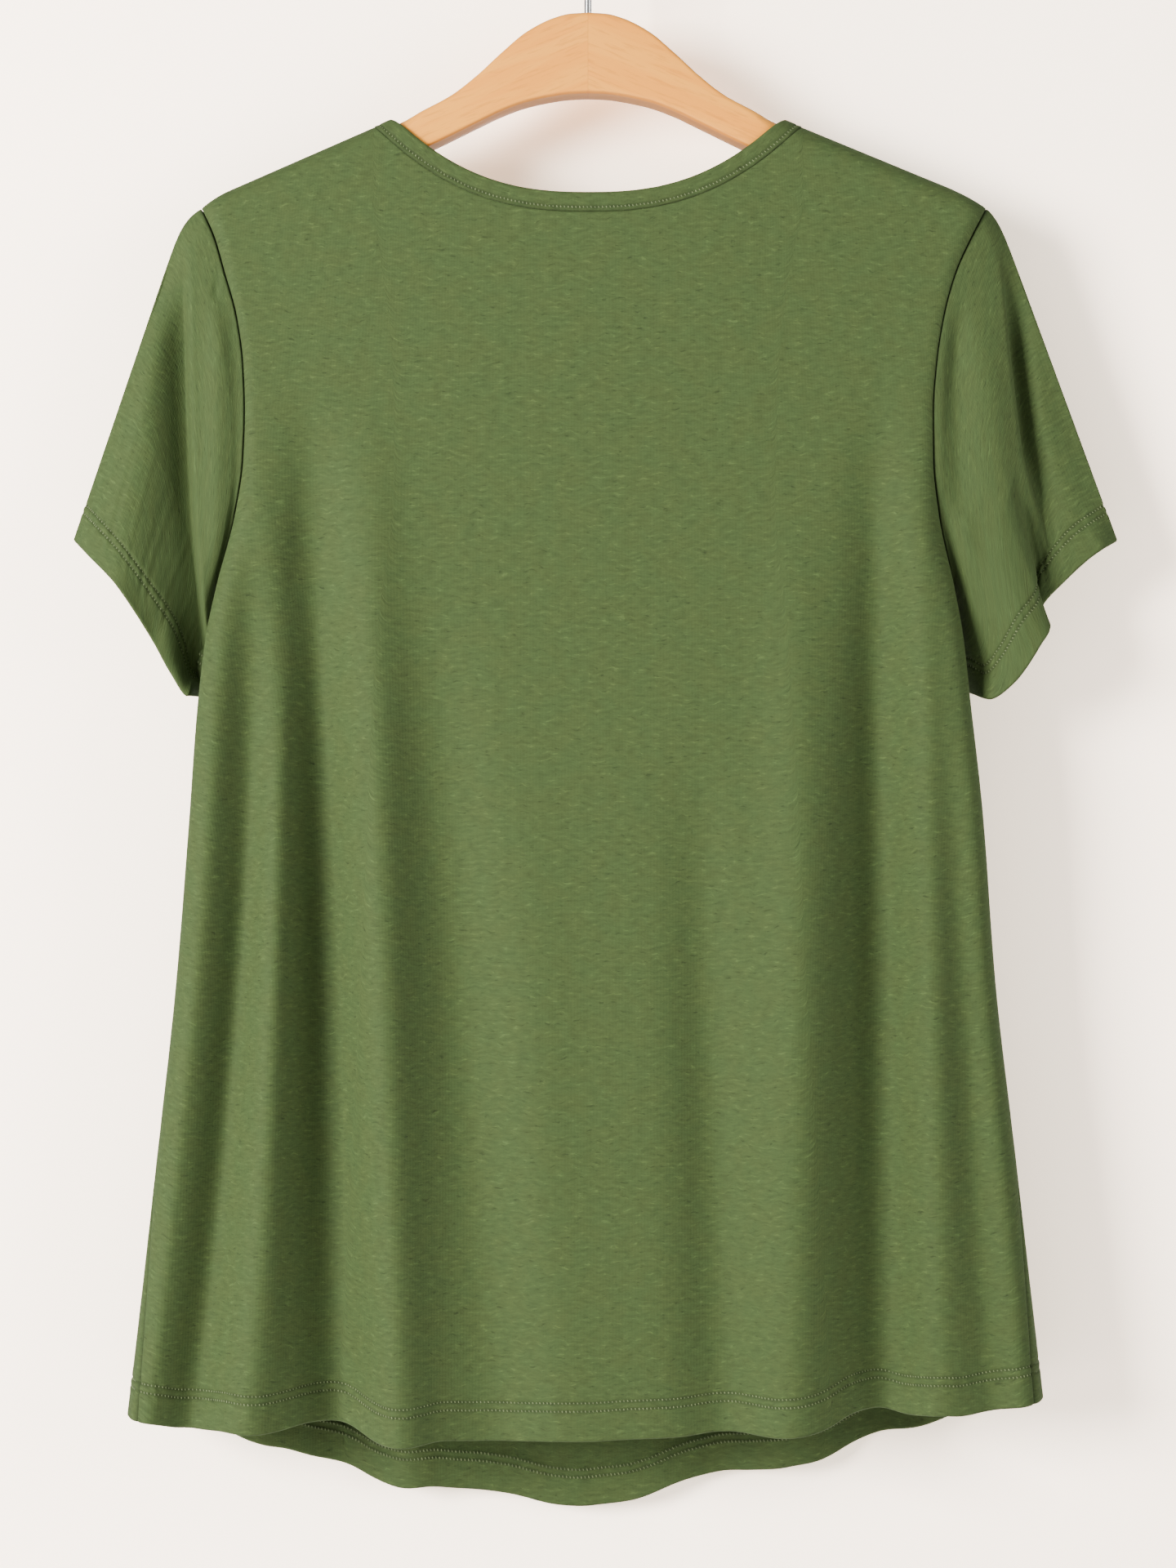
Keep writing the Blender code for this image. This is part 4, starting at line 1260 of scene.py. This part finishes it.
def resampled(points: Array, heights: Array, wanted: Sequence[float]) -> tuple[Array, Array]:
    """Replaces the last rows of a grid by rows at stated heights above its edge.

    Args:
        points: the grid, whose rows come closer and closer to its edge.
        heights: each point's height above the edge.
        wanted: the heights of the new rows in millimetres, from the highest to the edge.

    Returns:
        The new grid and its heights.
    """
    keep = int(np.min(np.sum(heights > (wanted[0] + 1.0) * MM, axis=0)))
    column = np.arange(points.shape[1])
    rows = []
    for height in wanted:
        target = height * MM
        after = np.clip(np.sum(heights > target, axis=0), 1, len(heights) - 1)
        high, low = heights[after - 1, column], heights[after, column]
        share = np.clip((high - target) / np.maximum(high - low, 1e-9), 0, 1)[:, None]
        rows.append(points[after - 1, column] * (1 - share) + points[after, column] * share)
    fresh_heights = np.repeat(np.array(wanted)[:, None] * MM, points.shape[1], axis=1)
    return np.concatenate([points[:keep], np.stack(rows)]), np.concatenate([heights[:keep], fresh_heights])


@dataclass
class Panel(Cloth):
    """The back or the front panel, cut in one piece from neck to hem."""

    face: Face = Face.BACK
    rests_on: tuple = ("hanger_wood",)
    skin: Array | None = None

    def build(self) -> bpy.types.Object:
        """Builds the panel's cloth and notes where its hem's stitches run.

        Returns:
            The panel as one sheet.
        """
        self.skin, heights = PanelGrid(self.form, self.face).build()
        points, heights = resampled(self.skin, heights, HEM_HEIGHTS)
        flip = self.face == Face.FRONT
        normals = grid_normals(points, False, flip)
        across, down = arc_lengths(points, 1), arc_lengths(points, 0)
        middle = points.shape[1] // 2
        uv = np.stack([across - across[:, middle:middle + 1], -(down - points[:1, :, 2])], axis=-1)
        beside = np.minimum(across, across[:, -1:] - across)
        relief = self.hem_relief(heights, uv[..., 0])
        relief = relief - rolled(np.minimum(beside, down), self.seam_reach, self.seam_depth)
        outer = points + normals * relief[..., None]
        thickness = self.hem_wall(heights)
        self.note_stitches((UPPER_ROW, LOWER_ROW), heights, outer, normals, thickness, False)
        groove = self.hem_groove(heights) + self.seam_groove(beside)
        return self.sheet(self.trimmed(outer), normals, thickness, False, flip, uv, groove)

    def trimmed(self, outer: Array) -> Array:
        """Draws the seamed edges in a little, so that pieces stay apart.

        Args:
            outer: the points of the outer face.

        Returns:
            The points with the top row and both side columns moved.
        """
        new = outer.copy()
        new[0] += unit(outer[1] - outer[0]) * self.seam_trim
        new[:, 0] += unit(outer[:, 1] - outer[:, 0]) * self.seam_trim
        new[:, -1] += unit(outer[:, -2] - outer[:, -1]) * self.seam_trim
        return new


@dataclass
class Sleeve(Cloth):
    """A set-in sleeve, from its armhole to its turned-up cuff."""

    hand: Hand = Hand.LEFT
    cut: Cut = Cut(0.42, 0.19, 0.035)
    rings: int = 110
    ring_gather: float = 1.4
    back_columns: int = 130
    front_columns: int = 64
    cuff_from: float = 0.80
    plain_power: int = 3
    plain_places: int = 41
    plain_end_weight: float = 40.0
    low_from: float = 0.6
    low_over: float = 0.35
    lift_start: float = 0.03
    lift_depth_share: float = 0.7
    dent_roundness: float = 0.35
    dent_start: float = 0.12
    dent_fade: float = 0.3
    seam_ease: float = 4 * MM
    map_start: float = 0.17
    allowance_step: float = 1.15 * MM
    allowance_width: float = 2.2 * MM
    armhole_rows: tuple = (0, 0.005, 0.015, 0.033, 0.063, 0.11, 0.175, 0.26, 0.37, 0.50, 0.64, 0.78, 0.89, 0.96,
                           0.99, 1)

    def skin(self, panels: dict) -> Array:
        """Lays out the sleeve's skin from the armhole edges of both panels.

        Args:
            panels: the skin of each panel.

        Returns:
            The points as rings by columns, down the back and up the front.
        """
        form = self.form
        edge = 0 if self.hand == Hand.LEFT else -1
        down, up = np.linspace(0, 1, self.back_columns + 1), np.linspace(1, 0, self.front_columns + 1)
        cuff_share = np.concatenate([down, up[1:-1]])
        is_back = np.arange(len(cuff_share)) <= self.back_columns
        rows = np.arange(PanelGrid(form, Face.BACK).yoke_rows + 1)
        place = np.interp(cuff_share, self.cuff_share(rows / rows[-1]), rows)
        lines = [
            np.stack([np.interp(place, rows, panels[face][rows, edge, axis]) for axis in range(3)], axis=-1)
            for face in Face
        ]
        armhole = np.where(is_back[:, None], *lines)
        ends = [self.cuff_line(face, cuff_share) for face in Face]
        cuff, plain = (np.where(is_back[:, None], *(end[n] for end in ends)) for n in (0, 1))
        t = (np.linspace(0, 1, self.rings + 1) ** self.ring_gather)[:, None]
        rise = (1 - np.exp(-t / form.bulge_start)) * (1 - t)
        outward = form.sleeve_bulge[self.hand] * rise * (1 - cuff_share) ** 2
        low = np.clip((cuff_share - self.low_from) / self.low_over, 0, 1)
        lift = form.seam_gap + (form.underarm_lift - form.seam_gap) * (1 - np.exp(-t / self.lift_start)) * (1 - t)
        sideways, back = self.hand * (outward + lift * low), self.lift_depth_share * lift * low
        push = np.stack(np.broadcast_arrays(sideways, back, 0 * lift * low), -1)
        turned = ease(t, self.cuff_from, 1)
        points = armhole[None] * (1 - t[..., None]) + plain[None] * t[..., None] + push
        near = np.where(is_back, np.maximum(0, np.sin(math.pi * cuff_share)) ** self.dent_roundness, 0.0)
        dent = self.dent(points[..., 0], -points[..., 2])
        points[..., 1] += dent * near * ease(t, 0, self.dent_start) * (1 - turned)
        return points + (cuff - plain)[None] * turned[..., None]

    def cuff_line(self, face: Face, share: Array) -> tuple[Array, Array]:
        """The edge of the cuff on one face, with its folds and without them.

        Args:
            face: the near or the far face.
            share: the shares of the way from the outermost point to the underarm.

        Returns:
            The edge's points, and those of a plain edge that bends no more than a wide curve does.
        """
        table, names = self.form.cuffs[self.hand, face], ("across", "depth", "drop")
        even = np.linspace(0, 1, self.plain_places)
        folded, wanted = (np.stack([read(table, key, name) for name in names], axis=-1) for key in (share, even))
        weight = np.where((even == 0) | (even == 1), self.plain_end_weight, 1.0)
        curves = [np.polyfit(even, column, self.plain_power, w=weight) for column in wanted.T]
        plain = np.stack([np.polyval(curve, share) for curve in curves], axis=-1)
        turn = np.array([float(self.hand), 1.0, -1.0])
        return folded * turn, plain * turn

    def dent(self, across: Array, drop: Array) -> Array:
        """How far the folds push the near face in.

        Args:
            across: the points' distances from the shirt's middle.
            drop: their drops.

        Returns:
            The push at each point.
        """
        total = np.zeros(across.shape)
        for fold in self.form.sleeve_folds[self.hand]:
            share = (drop - fold.start_drop) / (fold.end_drop - fold.start_drop)
            middle = bent_line(fold.start_across, fold.middle_across, fold.end_across, share)
            width = np.where((across - middle) * self.hand > 0, fold.outer_width, fold.inner_width)
            strength = ease(share, 0, self.dent_fade) * (1 - ease(share, 1.0, 1.0 + self.dent_fade))
            total += fold.depth * strength * bell(across - middle, width)
        return total

    def cuff_share(self, around: Array) -> Array:
        """The share of the way down the cuff that belongs to each row of the armhole.

        Args:
            around: the row's number as a share of all rows.

        Returns:
            The share for each row.
        """
        fine = PanelGrid(self.form, Face.BACK).yoke_shares()
        down = np.interp(around, np.linspace(0, 1, len(fine)), fine)
        return np.interp(down, self.armhole_rows, np.linspace(0, 1, len(self.armhole_rows)))

    def build(self, panels: dict) -> bpy.types.Object:
        """Builds the sleeve's cloth with its seam allowance, and notes where its cuff's stitches run.

        Args:
            panels: the skin of each panel.

        Returns:
            The sleeve as one sheet.
        """
        skin = self.skin(panels)
        down = arc_lengths(skin, 0)
        points, heights = resampled(skin, down[-1:] - down, HEM_HEIGHTS)
        flip = self.hand == Hand.RIGHT
        normals = grid_normals(points, True, flip)
        down, across = arc_lengths(points, 0), arc_lengths(wrapped(points), 1)
        uv = np.stack([across, -wrapped(down) - self.map_start], axis=-1)
        relief = self.hem_relief(heights, across[:, :-1]) * ease(down, 0, self.seam_ease)
        relief = relief - rolled(down, self.seam_reach, self.seam_depth)
        outer = points + normals * relief[..., None]
        thickness = self.hem_wall(heights)
        self.note_stitches((UPPER_ROW, LOWER_ROW), heights, outer, normals, thickness, True)
        inward = unit(outer[1] - outer[0])
        outer[0] += inward * self.seam_trim
        log.info("%s: armhole %.3f m, cuff %.3f m", self.name, across[0, -1], across[-1, -1])
        groove = self.hem_groove(heights) + self.seam_groove(down)
        step = outer[0] - normals[0] * self.allowance_step
        tucked = step - inward * self.allowance_width - normals[0] * self.seam_trim
        tilted = unit(normals[0] - inward)
        outer = np.concatenate([tucked[None], step[None], outer])
        normals = np.concatenate([normals[:1], tilted[None], tilted[None], normals[1:]])
        thickness, groove = (np.concatenate([grid[:1], grid[:1], grid]) for grid in (thickness, groove))
        uv = np.concatenate([uv[:1] + (0, self.allowance_step + self.allowance_width),
                             uv[:1] + (0, self.allowance_step), uv])
        return self.sheet(outer, normals, thickness, True, flip, uv, groove)


@dataclass
class NeckBinding(Cloth):
    """The band round the neckline, turned over its edge and stitched down near its lower edge."""

    name: str = "neck_binding_cloth"
    node: str = "neck_binding"
    seed: int = 41
    cut: Cut = Cut(0.62, 0.0105)
    width: float = 10 * MM
    proud: float = 0.45 * MM
    steps: int = 14
    edge_round: float = 1.1 * MM
    edge_tuck: float = 0.15 * MM
    stitch_height: float = 2.5 * MM
    short_puckers: tuple = (6 * MM, 14 * MM)
    pucker: float = 0.12 * MM
    pucker_reach: float = 3 * MM

    def on_arm(self, points: Array) -> Array:
        """Moves points onto the skin over the hanger's arm, or onto the skin that hangs from it.

        Args:
            points: the points.

        Returns:
            The points on the skin.
        """
        middle = self.form.arm_line(points[:, 0]) + self.form.arm_wrap
        ray = unit(np.stack([0 * middle, points[:, 1], points[:, 2] + middle], axis=-1)) * self.form.arm_wrap
        over = np.stack([points[:, 0], ray[:, 1], ray[:, 2] - middle], axis=-1)
        below = np.stack([points[:, 0], np.copysign(self.form.arm_wrap, points[:, 1]), points[:, 2]], axis=-1)
        return np.where((-points[:, 2] >= middle)[:, None], below, over)

    def neckline(self, panels: dict) -> tuple[Array, Array]:
        """The edge that the band is turned over.

        Args:
            panels: the skin of each panel.

        Returns:
            The points round the neckline, and the outward direction of the cloth at each.
        """
        grid = PanelGrid(self.form, Face.BACK)
        first = grid.end_columns + grid.shoulder_columns
        span = slice(first, first + 2 * (grid.neck_columns + grid.neck_point_columns) + 1)
        back, front = (panels[face][0, span] for face in Face)
        behind, ahead = (grid_normals(panels[face], False, face == Face.FRONT)[0, span] for face in Face)
        ring, facing = np.concatenate([back, front[-2:0:-1]]), np.concatenate([behind, ahead[-2:0:-1]])
        far = len(back) - 1
        facing[0] = unit(facing[1] + facing[-1])
        facing[far] = unit(facing[far - 1] + facing[far + 1])
        return ring, facing

    def build(self, panels: dict) -> bpy.types.Object:
        """Builds the band and notes where its stitches run.

        Args:
            panels: the skin of each panel.

        Returns:
            The band as one sheet.
        """
        ring, facing = self.neckline(panels)
        along = np.roll(ring, -1, axis=0) - np.roll(ring, 1, axis=0)
        heading = unit(np.cross(along, -facing))
        rows = [ring]
        for _ in range(self.steps):
            moved = self.on_arm(rows[-1] + heading * (self.width / self.steps))
            heading = unit(moved - rows[-1])
            rows.append(moved)
        points = np.stack(rows)
        normals = grid_normals(points, True, True)
        height = np.repeat(np.linspace(0, self.width, self.steps + 1)[:, None], points.shape[1], axis=1)
        rounding = rolled(np.minimum(height, self.width - height), self.edge_round, self.proud + self.edge_tuck)
        sink = self.stitch_sink * bell(height - self.stitch_height, self.stitch_sink_width)
        across = arc_lengths(wrapped(points), 1)
        short = Ripple(self.seed, *self.short_puckers).at(across[0, :-1])[None]
        pucker = self.pucker * short * bell(height - self.stitch_height, self.pucker_reach)
        outer = points + normals * (self.proud - rounding - sink + pucker)[..., None]
        thickness = np.full(height.shape, self.thickness + 2 * self.proud) - 2 * rounding
        uv = np.stack([np.repeat(across[:1], len(points), axis=0), wrapped(height)], axis=-1)
        self.note_stitches((self.stitch_height,), height, outer, normals, thickness, True)
        outer[0] += unit(outer[1] - outer[0]) * self.seam_trim
        groove = self.seam_groove(height - self.stitch_height) + self.seam_groove(height)
        return self.sheet(outer, normals, thickness, True, True, uv, groove)


def swept(name: str, rings: Sequence[Sequence], sharp: float) -> bpy.types.Object:
    """Joins rings of points into a closed solid with flat ends.

    Args:
        name: the piece's name.
        rings: the rings, all with the same number of points.
        sharp: the angle in degrees past which an edge stays sharp.

    Returns:
        The new object.
    """
    count, last = len(rings[0]), len(rings) - 1
    faces = []
    for i in range(last):
        for n in range(count):
            m = (n + 1) % count
            faces.append((i * count + n, i * count + m, (i + 1) * count + m, (i + 1) * count + n))
    faces.append(tuple(range(count))[::-1])
    faces.append(tuple(last * count + n for n in range(count)))
    mesh = bpy.data.meshes.new(name)
    mesh.from_pydata([tuple(point) for ring in rings for point in ring], [], faces)
    mesh.shade_smooth()
    mesh.set_sharp_from_angle(angle=math.radians(sharp))
    return link(name, mesh)


@dataclass
class Hanger:
    """The wooden hanger and its steel hook."""

    half_thickness: float = 9.2 * MM
    under_round: float = 2.5 * MM
    end: float = 190 * MM
    end_round: float = 4 * MM
    end_steps: int = 8
    end_least: float = 0.35
    corner_most: float = 0.98
    stations: int = 120
    arc_steps: int = 7
    wire_radius: float = 1.9 * MM
    wire_sides: int = 16
    wire_tip: tuple = (0.5, 1.0, 1.35)
    inside_radius: float = 19 * MM
    tip_angle: float = math.radians(205)
    start_angle: float = math.radians(-38)
    shank_in_wood: float = 14 * MM
    shank_rise: float = 21 * MM
    shank_reach: float = 15 * MM
    foot_steps: int = 6
    shank_steps: int = 20
    bend_steps: int = 60
    arm: list = field(default_factory=lambda: millimetres(Wood, (
        (0, 76.4, 119.0, 3), (9, 76.9, 119.4, 3), (18, 79.2, 120.6, 3), (32, 86.3, 123.6, 3), (45, 97.1, 128.3, 3),
        (58, 109.1, 134.5, 3), (72, 119.9, 141.4, 3), (86, 127.2, 148.1, 4), (98, 132.9, 153.4, 9),
        (112, 138.9, 158.8, 9), (150, 155.0, 173.2, 9), (180, 168.2, 184.6, 8), (190, 172.6, 188.4, 8),
    )))

    def wood(self) -> bpy.types.Object:
        """Sweeps the wood from end to end, with rounded edges and ends.

        Returns:
            The wood as one closed piece.
        """
        inner = np.linspace(0, 1, self.stations + 1) * (self.end - self.end_round)
        cap = np.sin(np.linspace(0, 1, self.end_steps + 1)[1:] * math.pi / 2)
        runs = np.concatenate([inner, self.end - self.end_round + self.end_round * cap])
        caps = self.end_least + (1 - self.end_least) * np.sqrt(np.maximum(0, 1 - cap**2))
        shrinks = np.concatenate([np.ones(len(inner)), caps])
        runs, shrinks = np.concatenate([-runs[:0:-1], runs]), np.concatenate([shrinks[:0:-1], shrinks])
        return swept("hanger_wood_bow", [self.section(float(x), float(k)) for x, k in zip(runs, shrinks)], 40)

    def section(self, across: float, shrink: float) -> list:
        """A ring of points round the wood at one station.

        Args:
            across: the station's distance from the middle.
            shrink: how much of its height and thickness is left.

        Returns:
            The ring's points.
        """
        place = np.array(abs(across))
        top, bottom, edge = (float(read(self.arm, place, name)) for name in ("top", "bottom", "edge_round"))
        middle, high, thick = (top + bottom) / 2, (bottom - top) / 2 * shrink, self.half_thickness * shrink
        ring = []
        corners = ((1, -1, edge), (1, 1, self.under_round), (-1, 1, self.under_round), (-1, -1, edge))
        for n, (side, down, size) in enumerate(corners):
            corner = min(size * shrink, thick * self.corner_most, high * self.corner_most)
            for step in range(self.arc_steps + 1):
                angle = math.pi / 2 * (n - 1 + step / self.arc_steps)
                y = side * (thick - corner) + corner * math.cos(angle)
                ring.append((across, y, -(middle + down * (high - corner) + corner * math.sin(angle))))
        return ring

    def route(self) -> list:
        """The wire's middle line.

        Returns:
            Its points: up out of the wood, round, over the top and down to its tip.
        """
        bend, centre = self.inside_radius + self.wire_radius, self.inside_radius
        foot = -(self.arm[0].top + self.shank_in_wood)
        leave = Vector((bend * math.cos(self.start_angle), 0, -centre + bend * math.sin(self.start_angle)))
        heading = Vector((-math.sin(self.start_angle), 0, math.cos(self.start_angle)))
        top = Vector((0, 0, leave.z - self.shank_rise))
        points = [Vector((0, 0, foot + (top.z - foot) * n / self.foot_steps)) for n in range(self.foot_steps + 1)]
        first, second = top + Vector((0, 0, self.shank_reach)), leave - heading * self.shank_reach
        for n in range(1, self.shank_steps):
            t = n / self.shank_steps
            near, far = top * (1 - t) ** 3 + first * 3 * t * (1 - t) ** 2, second * 3 * t * t * (1 - t)
            points.append(near + far + leave * t**3)
        for n in range(self.bend_steps + 1):
            angle = self.start_angle + (self.tip_angle - self.start_angle) * n / self.bend_steps
            points.append(Vector((bend * math.cos(angle), 0, -centre + bend * math.sin(angle))))
        return points

    def hook(self) -> bpy.types.Object:
        """Draws the wire along its route with a rounded tip.

        Returns:
            The hook as one closed piece.
        """
        route = self.route()
        heading = (route[-1] - route[-2]).normalized() * self.wire_radius
        stations = [(place, 1.0) for place in route]
        stations += [(route[-1] + heading * math.sin(a), math.cos(a)) for a in self.wire_tip]
        side, last, rings = Vector((0, 1, 0)), len(stations) - 1, []
        for n, (place, shrink) in enumerate(stations):
            ahead = (stations[min(n + 1, last)][0] - stations[max(n - 1, 0)][0]).normalized()
            up = ahead.cross(side).normalized()
            angles = [2 * math.pi * k / self.wire_sides for k in range(self.wire_sides)]
            rings.append([place + (side * math.cos(a) + up * math.sin(a)) * self.wire_radius * shrink for a in angles])
        return swept("hanger_hook_wire", rings, 50)


class Lamp(NamedTuple):
    """A soft square light: where it stands, where it points, its side's length and its share of the key's power."""

    name: str
    place: tuple
    aim: tuple
    size: float
    share: float


@dataclass
class Studio:
    """The pale wall and floor, the soft light and the camera at the photograph's angle."""

    wall_gap: float = 43 * MM
    wall_size: float = 5.0
    floor_drop: float = 1.15
    camera_distance: float = 1.6
    camera_drop: float = 0.4809
    frame_height: float = 0.8256
    sensor: float = 36.0
    wall_colour: tuple = (2.40, 2.06, 1.74, 1)
    floor_colour: tuple = (0.78, 0.76, 0.73, 1)
    paint_roughness: float = 0.9
    world_colour: tuple = (1.0, 0.985, 0.965, 1)
    world_strength: float = 0.44
    lamp_colour: tuple = (1.0, 0.975, 0.94)
    key_power: float = 205.0
    lamps: tuple = (
        Lamp("key", (-2.2, -1.9, 0.0), (0, 0, -0.45), 1.1, 1.0),
        Lamp("fill", (2.3, -1.5, 0.0), (0, 0, -0.5), 1.4, 0.22),
        Lamp("far", (0.35, 2.5, 0.35), (0, 0, -0.45), 1.0, 0.4),
    )

    def build(self) -> None:
        """Sets up the whole stage."""
        self.wall()
        self.floor()
        self.lights()
        self.camera()

    def plane(self, name: str, corners: Sequence[tuple], material: bpy.types.Material) -> None:
        """Makes a flat four-cornered piece of the stage.

        Args:
            name: its name.
            corners: its four corners.
            material: its paint.
        """
        mesh = bpy.data.meshes.new(name)
        mesh.from_pydata(corners, [], [(0, 1, 2, 3)])
        mesh.materials.append(material)
        link(name, mesh)

    def wall(self) -> None:
        """The wall close behind the shirt. It shows from the front alone, so the other views see past it."""
        material, tree, _ = Finish("wall_paint", self.paint_roughness).start(Base_Color=self.wall_colour)
        pale = tree.add("ShaderNodeBsdfDiffuse", Color=self.wall_colour).outputs[0]
        clear = tree.add("ShaderNodeBsdfTransparent").outputs[0]
        behind = tree.add("ShaderNodeNewGeometry").outputs["Backfacing"]
        direct = tree.add("ShaderNodeLightPath").outputs["Is Camera Ray"]
        seen = tree.maths("MULTIPLY", direct, tree.maths("SUBTRACT", 1.0, behind))
        both = tree.add("ShaderNodeMixShader", i0=seen, i1=clear, i2=pale).outputs[0]
        tree.fill(material.node_tree.nodes["Material Output"], Surface=both)
        y, low, half = self.wall_gap, -self.floor_drop, self.wall_size / 2
        self.plane("wall", [(-half, y, low), (half, y, low), (half, y, half), (-half, y, half)], material)

    def floor(self) -> None:
        """The plain pale floor, well below the shirt."""
        material, _, _ = Finish("floor_paint", self.paint_roughness).start(Base_Color=self.floor_colour)
        z, half = -self.floor_drop, self.wall_size
        self.plane("floor", [(-half, -half, z), (half, -half, z), (half, half, z), (-half, half, z)], material)

    def lights(self) -> None:
        """A broad soft light from the upper left in front, a weaker one behind, and even light all round."""
        world = bpy.data.worlds.new("studio")
        world.use_nodes = True
        background = world.node_tree.nodes["Background"]
        Tree(world.node_tree).fill(background, Color=self.world_colour, Strength=self.world_strength)
        bpy.context.scene.world = world
        for name, place, aim, size, share in self.lamps:
            lamp = bpy.data.lights.new(name, "AREA")
            lamp.shape, lamp.size, lamp.size_y = "RECTANGLE", size, size
            lamp.energy, lamp.color = self.key_power * share, self.lamp_colour
            light = bpy.data.objects.new(name, lamp)
            light.location = place
            light.rotation_mode = "QUATERNION"
            light.rotation_quaternion = (Vector(place) - Vector(aim)).to_track_quat("Z", "Y")
            bpy.context.scene.collection.objects.link(light)

    def camera(self) -> None:
        """The camera square to the wall, at the height of the photograph's middle."""
        lens = bpy.data.cameras.new("camera")
        lens.sensor_width = self.sensor
        lens.lens = self.sensor * self.camera_distance / self.frame_height
        eye = bpy.data.objects.new("camera", lens)
        eye.location = (0, -self.camera_distance, -self.camera_drop)
        eye.rotation_euler = (math.radians(90), 0, 0)
        bpy.context.scene.collection.objects.link(eye)
        bpy.context.scene.camera = eye


def main() -> None:
    """Builds the shirt, the hanger and the studio in order."""
    logging.basicConfig(level=logging.INFO, format="%(message)s")
    form = ShirtForm()
    jersey, thread = Jersey().material(), Thread().material()
    skins = {}
    for face, node, seed, cut in (
        (Face.BACK, "back_panel", 3, Cut(0.54, 0.69, 0.311)), (Face.FRONT, "front_panel", 5, Cut(0.61, 0.72, 0.304)),
    ):
        panel = Panel(form, name=node + "_cloth", node=node, seed=seed, cut=cut, face=face)
        panel.finish(panel.build(), jersey, thread)
        skins[face] = panel.skin
    sleeves = [
        Sleeve(form, name=node + "_cloth", node=node, seed=seed, hand=hand)
        for hand, node, seed in ((Hand.LEFT, "sleeve_left", 21), (Hand.RIGHT, "sleeve_right", 27))
    ]
    for cloth in (*sleeves, NeckBinding(form)):
        cloth.finish(cloth.build(skins), jersey, thread)
    hanger = Hanger()
    dress(hanger.wood(), LacqueredWood().material(), ["hanger_wood"])
    dress(hanger.hook(), PlatedSteel().material(), ["hanger_hook"])
    Studio().build()


if __name__ == "__main__":
    main()
